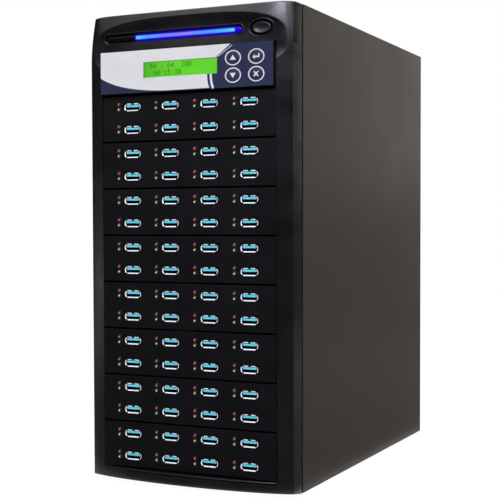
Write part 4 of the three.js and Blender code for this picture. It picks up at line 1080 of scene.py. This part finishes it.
module_names = [f"module_{number}" for number in range(1, 9)]
for module in module_names:
    plate_low, plate_high = box_of(module + "_faceplate")
    board_low, board_high = box_of(module + "_board")
    centre_x, centre_z = middle_of(module + "_faceplate")
    grid_x = centre_x + grid_offset

    windows = []
    for row in (-0.5, 0.5):
        for column in (-1.5, -0.5, 0.5, 1.5):
            x, z = grid_x + column * column_spacing, centre_z + row * row_spacing
            windows.append(rectangle(*about(x, flare_width / 2), *about(z, flare_height / 2), mouth_gap))
    edges = rectangle(plate_low.x, plate_high.x, plate_low.z, plate_high.z)
    front_skin = rounded(flat("skin", matt_abs, 0, plate_depth, edges, windows), 0.45)
    cheek_inner = (board_high.x - board_low.x) / 2 + cheek_gap
    cheeks = []
    for side in (-1, 1):
        walls = sorted(centre_x + side * reach for reach in (cheek_inner, cheek_inner + cheek_wall))
        cheek = block("cheek", walls, (plate_depth - 0.2, 24), about(centre_z, cheek_half))
        cheeks.append(made_of(matt_abs, rounded(cheek, 0.3)))
    lights_x, lights_z = grid_x + light_offset, centre_z + light_rise
    lights = [at_sockets(source, finish, lights_x, lights_z + up * light_spacing / 2)
              for source, finish, up in lights_of_socket]
    plate = merge(module + "_plate", [front_skin, *cheeks, *lights])
    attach(plate, "tower")
    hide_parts(module + "_faceplate")

    sockets = [at_sockets(source, finish, grid_x, centre_z) for source, finish in parts_of_socket]
    card = flat("card", board_green, board_front, card_back,
                rectangle(board_low.x, board_high.x, board_low.z, board_high.z))
    hub = block("hub", about(centre_x, hub_half_width), (card_back - 0.2, board_high.y),
                about(centre_z, hub_half_height))
    board = merge(module + "_sockets", [*sockets, card, made_of(black_nylon, rounded(hub, 0.4))])
    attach(board, "tower")
    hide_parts(module + "_board")
for source in (*[source for source, finish in parts_of_socket], source_light, source_core):
    bpy.data.objects.remove(source)


# Trays and cage
# Zinc coated steel, folded from sheet and left bare. Each module and the controller have a tray, and the
# trays slide on rails that are part of the cage's walls.

for name in (*[module + "_tray" for module in module_names], "controller_tray", "drive_cage_left",
             "drive_cage_right"):
    made = refined(name, 0.2, bare_steel)
    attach(made, "tower")


# Boards
# Glass-filled epoxy under green lacquer, with their parts soldered on: the keys' board, the button's board
# and the controller behind the control panel.

lacquered_board = 1.6


def paint(piece, material, low, high):
    """Another material for the faces whose middle lies between two corners, which at() places."""
    made_of(material, piece)
    low, high = at(*low), at(*high)
    for polygon in piece.data.polygons:
        if all(low[k] < polygon.center[k] < high[k] for k in range(3)):
            polygon.material_index = len(piece.data.materials) - 1


for name in ("key_board", "power_switch_board"):
    made = refined(name, 0.15, board_green)
    low, high = box_of(name)
    paint(made, black_nylon, (low.x, low.y - 1, low.z), (high.x, high.y - lacquered_board - 0.1, high.z))
    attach(made, "tower")

# The controller has a finned heat sink, a row of cable sockets, brass stand-offs, six chips and ten
# capacitors. The anodised sink is a satin dark grey, and the turned brass and the drawn cans are brighter.
sink_metal = grained("anodised_sink", "26262a", 0.42, 0.8, 0.004, metallic=0.8)
brass = grained("brass", "b08d4a", 0.34, 1.0, 0.003, metallic=1.0)
can_metal = grained("capacitor_can", "b8bcc2", 0.3, 1.2, 0.003, metallic=0.9)
low, high = box_of("controller_board")
board_lift, sink_half, row_depth, row_half = 5.0, 17.5, 8.3, 35.5
board_level = low.z + board_lift + lacquered_board
middle_y = (low.y + high.y) / 2
controller = refined("controller_board", 0.15, board_green)
above, below = board_level + 0.05, board_level - lacquered_board - 0.05
paint(controller, sink_metal, (-sink_half, middle_y - sink_half, above),
      (sink_half, middle_y + sink_half, high.z + 1))
paint(controller, black_nylon, (-row_half, high.y - row_depth, above), (row_half, high.y + 1, high.z + 1))
paint(controller, brass, (low.x, low.y, low.z - 1), (high.x, high.y, below))
chip_half_width, chip_half_depth, chip_height, chip_gap = 4.0, 6.0, 1.3, 0.15
legs, leg_step, leg_reach, leg_rise = 7, 1.6, 0.5, 0.35
chips, leg_points = [], []
for x in (-46.0, 46.0):
    for y in (middle_y - 36, middle_y - 10, middle_y + 16):
        chip = block("chip", about(x, chip_half_width), about(y, chip_half_depth),
                     (board_level + chip_gap, board_level + chip_height))
        chips.append(made_of(black_nylon, rounded(chip, 0.2)))
        leg_points += [(x + side * (chip_half_width + leg_reach), y + (i - (legs - 1) / 2) * leg_step,
                        board_level + leg_rise) for side in (-1, 1) for i in range(legs)]
source_leg = gathered("source_leg", [bar_body((-0.6, 0.6), (-0.3, 0.3), (-0.4, 0.3))])
can_radius, can_height, can_sides = 2.6, 6.5, 20
# A can's radius and height: a groove near its foot, and a rounded top
can_profile = [(can_radius, -0.1), (can_radius, 0.8), (can_radius - 0.25, 1.1), (can_radius, 1.4),
               (can_radius, can_height - 0.3), (can_radius - 0.35, can_height)]
can_points = [(far * math.cos(turn), far * math.sin(turn), z)
              for far, z in can_profile for turn in turns_of(can_sides)]
can_top = (len(can_profile) - 1) * can_sides
can_faces = [tuple(range(can_sides)), tuple(range(can_top, can_top + can_sides)),
             *skin(len(can_profile), can_sides)]
source_can = shade(gathered("source_can", [(can_points, can_faces)]), 50)
can_places = [(side * x, middle_y + y, board_level)
              for side in (-1, 1) for x, y in ((60, -40), (60, -32), (60, 8), (60, 16), (28, 36))]
populated = merge("controller_board_populated", [
    controller, *chips,
    grown(copies_on_points, {"Piece": source_leg, "Finish": bare_steel}, leg_points),
    grown(copies_on_points, {"Piece": source_can, "Finish": can_metal}, can_places),
])
for source in (source_leg, source_can):
    bpy.data.objects.remove(source)
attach(populated, "tower")
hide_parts("controller_board")


# Chassis and covers
# Folded steel sheet. The chassis is sprayed black inside and out, and the covers have a dark warm grey
# enamel. The rear panel carries the fan's four screws, with crossed recesses, and six blind rivets.

# Baked enamel with the slight texture of spray: half matt, and on the covers very even
chassis_enamel = grained("chassis_enamel", "101012", 0.5, 0.8, 0.02, spread=0.05, specular=0.2)
cover_enamel = grained("cover_enamel", "403a33", 0.42, 0.8, 0.02, spread=0.04, specular=0.12, patch=60.0)
for name in ("chassis_front", "base_pan"):
    made = refined(name, 0.25, chassis_enamel)
    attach(made, "tower")


def rear_dome(radius, rise):
    """A low dome with its crown to the back."""
    points, faces = dome(radius, rise, 0.0, ring_count=5, sides=24)
    return [(x, -y, z) for x, y, z in points], faces


# Blackened steel: dark, with a soft metal glint
screw_black = grained("blackened_steel", "2c2c2e", 0.36, 0.6, 0.004, metallic=0.7)
cross = gathered("cross", [bar_body(about(0, x), (0.7, 3.0), about(0, z))
                           for x, z in ((1.8, 0.35), (0.35, 1.8))])
source_screw = shade(cut(gathered("source_screw", [rear_dome(3.0, 1.5)]), cross), 40)
source_rivet = shade(gathered("source_rivet", [rear_dome(1.9, 0.8)]), 40)
fan_hole = 35.75


def fan_screws(x, y, z):
    """The four screws of a fan with this middle."""
    return grown(copies_on_points, {"Piece": source_screw, "Finish": screw_black},
                 [(x + a * fan_hole, y, z + b * fan_hole) for a in (-1, 1) for b in (-1, 1)])


low, high = box_of("rear_panel")
fan_x, fan_z = middle_of("rear_fan_frame")
rivet_places = [(x, high.y, z) for x in (-70.0, 0.0, 70.0) for z in (low.z + 8, 322.0)]
panel = merge("rear_panel_riveted", [
    refined("rear_panel", 0.25, chassis_enamel),
    fan_screws(fan_x, high.y, fan_z),
    grown(copies_on_points, {"Piece": source_rivet, "Finish": screw_black}, rivet_places),
])
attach(panel, "tower")
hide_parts("rear_panel")
for name in ("left_side_cover", "right_side_cover", "top_cover"):
    made = refined(name, 0.35, cover_enamel)
    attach(made, "tower")


# Feet
# Four moulded rubber discs, glued under the base's corners. They keep the sheet steel off the floor and the
# tower from sliding.

# Rubber: black and dull, with a skin a little rough
rubber = grained("moulded_rubber", "121212", 0.8, 0.7, 0.03, specular=0.3)
for name in ("foot_front_left", "foot_front_right", "foot_rear_left", "foot_rear_right"):
    foot = refined(name, 0.5, rubber, degrees=40)
    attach(foot, "tower")


# Thumb screws
# Turned steel, knurled and blackened, with a plain shank. Four of them hold the side covers at the back, so
# that these come off without a tool.

head_radius, head_depth, shank_width, ridges, groove_share = 4.4, 5.8, 3.2, 48, 0.94


def knurled(x, y, z, share, grooved=False):
    """A ring of the head. Where it is grooved, every other ridge lies lower."""
    ring = []
    for i, turn in enumerate(turns_of(ridges)):
        far = head_radius * share * (groove_share if grooved and i % 2 else 1.0)
        ring.append((x + far * math.cos(turn), y, z + far * math.sin(turn)))
    return ring


for name in ("cover_screw_1", "cover_screw_2", "cover_screw_3", "cover_screw_4"):
    low, high = box_of(name)
    x, z = middle_of(name)
    head_front, head_back = high.y - head_depth, high.y
    head = loft("head", [knurled(x, head_front, z, 0.86), knurled(x, head_front + 0.5, z, 1.0, True),
                         knurled(x, head_back - 0.6, z, 1.0, True), knurled(x, head_back, z, 0.86),
                         knurled(x, head_back, z, 0.5), knurled(x, head_back - 0.5, z, 0.45)])
    shank = loft("shank", [oval(shank_width, shank_width, x, y, z, 20) for y in (low.y, head_front + 0.2)])
    screw = merge(name + "_knurled", [made_of(screw_black, shade(part, 30)) for part in (head, shank)])
    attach(screw, "tower")
    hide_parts(name)


# Fans
# Black moulded fans, one behind the rear panel and one in the power supply. A rotor's seven cambered blades
# are moulded in one with its hub, which turns on a short shaft.

# Glass-filled plastic: black, with a soft uneven sheen
fan_plastic = grained("fan_plastic", "18181a", 0.45, 0.6, 0.01)
fan_frame = refined("rear_fan_frame", 0.3, fan_plastic)
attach(fan_frame, "tower")
tip_radius, root_radius, bore_width, bore_depth, blade_count = 36.0, 14.5, 4.4, 9.0, 7
root_pitch, tip_pitch, root_chord, tip_chord, end_trim = 50, 34, 12.5, 15.0, 1.2
root_thickness, tip_thickness, camber, lean = 1.7, 0.9, 0.09, 0.22


def blade(x, y, z, turn):
    """One twisted and cambered blade, thinner and flatter towards its tip."""
    rings = []
    for share in (0.0, 0.2, 0.4, 0.6, 0.8, 0.96, 1.0):
        radius = root_radius + (tip_radius - root_radius) * share
        pitch = math.radians(root_pitch + (tip_pitch - root_pitch) * share)
        chord = root_chord + (tip_chord - root_chord) * share - (end_trim if share == 1.0 else 0.0)
        thickness = root_thickness + (tip_thickness - root_thickness) * share
        ring = []
        for around in turns_of(24):
            along = 0.5 * math.cos(around)
            bulge = camber * chord * (1 - 4 * along ** 2) + thickness * 0.5 * math.sin(around)
            depth = along * chord * math.cos(pitch) + bulge * math.sin(pitch)
            swing = along * chord * math.sin(pitch) - bulge * math.cos(pitch)
            angle = turn + lean * share ** 2 + swing / radius
            ring.append((x + radius * math.cos(angle), y + depth, z + radius * math.sin(angle)))
        rings.append(ring)
    return shade(loft("blade", rings), 50)


for name in ("rear_fan_rotor", "power_supply_rotor"):
    low, high = box_of(name)
    x, z = high.x - tip_radius, (low.z + high.z) / 2
    # Width and place of each ring of the hub: its bore, its front and its rounded back
    hub_profile = [(bore_width, low.y + bore_depth), (bore_width, low.y), (26.0, low.y), (28.6, low.y + 0.5),
                   (29.6, low.y + 1.4), (30.0, low.y + 2.6), (30.0, high.y - 2.2), (29.5, high.y - 1.0),
                   (28.4, high.y - 0.3), (26.6, high.y)]
    hub = shade(loft("hub", [oval(width, width, x, y, z, 64) for width, y in hub_profile]), 40)
    blades = [blade(x, (low.y + high.y) / 2, z, turn) for turn in turns_of(blade_count)]
    rotor = made_of(fan_plastic, merge(name + "_moulded", [hub, *blades]))
    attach(rotor, name)
    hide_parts(name)


# Power supply and mains inlet
# A zinc coated steel box behind the top of the rear panel, screwed on from behind. Beside its fan it has a
# moulded inlet with three pins, and a rocker switch that snaps in.

# Zinc coated sheet, a little brighter than the trays' and patchier
supply_steel = grained("supply_steel", "9a9c9e", 0.38, 1.5, 0.006, spread=0.1, metallic=1.0)
low, high = box_of("power_supply_rotor")
supply_back = box_of("power_supply_case")[1].y
fan_x, fan_z, fan_half, fan_depth, case_wall = high.x - tip_radius, (low.z + high.z) / 2, 41, 18, 1.6
supply = refined("power_supply_case", 0.25, supply_steel)
paint(supply, fan_plastic, (fan_x - fan_half, high.y - fan_depth, fan_z - fan_half),
      (fan_x + fan_half, supply_back - case_wall, fan_z + fan_half))
supply = merge("power_supply_closed", [supply, fan_screws(fan_x, supply_back, fan_z)])
for source in (source_screw, source_rivet):
    bpy.data.objects.remove(source)
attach(supply, "tower")
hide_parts("power_supply_case")

# Black plastic with a fine grain
inlet_plastic = grained("inlet_plastic", "161618", 0.4, 0.6, 0.008)
inlet = refined("mains_inlet", 0.3, inlet_plastic)
socket_depth, socket_rise, pin_length, pin_half_width, pin_half_height = 15.0, 13.0, 13.0, 1.2, 2.2
middle_x, middle_z = middle_of("mains_inlet")
pin_floor = box_of("mains_inlet")[1].y - socket_depth
for aside, above in ((-7, -2), (7, -2), (0, 2.4)):
    x, z = middle_x + aside, middle_z + socket_rise + above
    paint(inlet, bare_steel, (x - pin_half_width, pin_floor + 0.05, z - pin_half_height),
          (x + pin_half_width, pin_floor + pin_length + 0.1, z + pin_half_height))
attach(inlet, "tower")
# The rocker is polished
rocker_plastic = grained("rocker_plastic", "1c1c1e", 0.28, 0.6, 0.004)
rocker = refined("mains_switch", 0.25, rocker_plastic)
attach(rocker, "mains_switch")
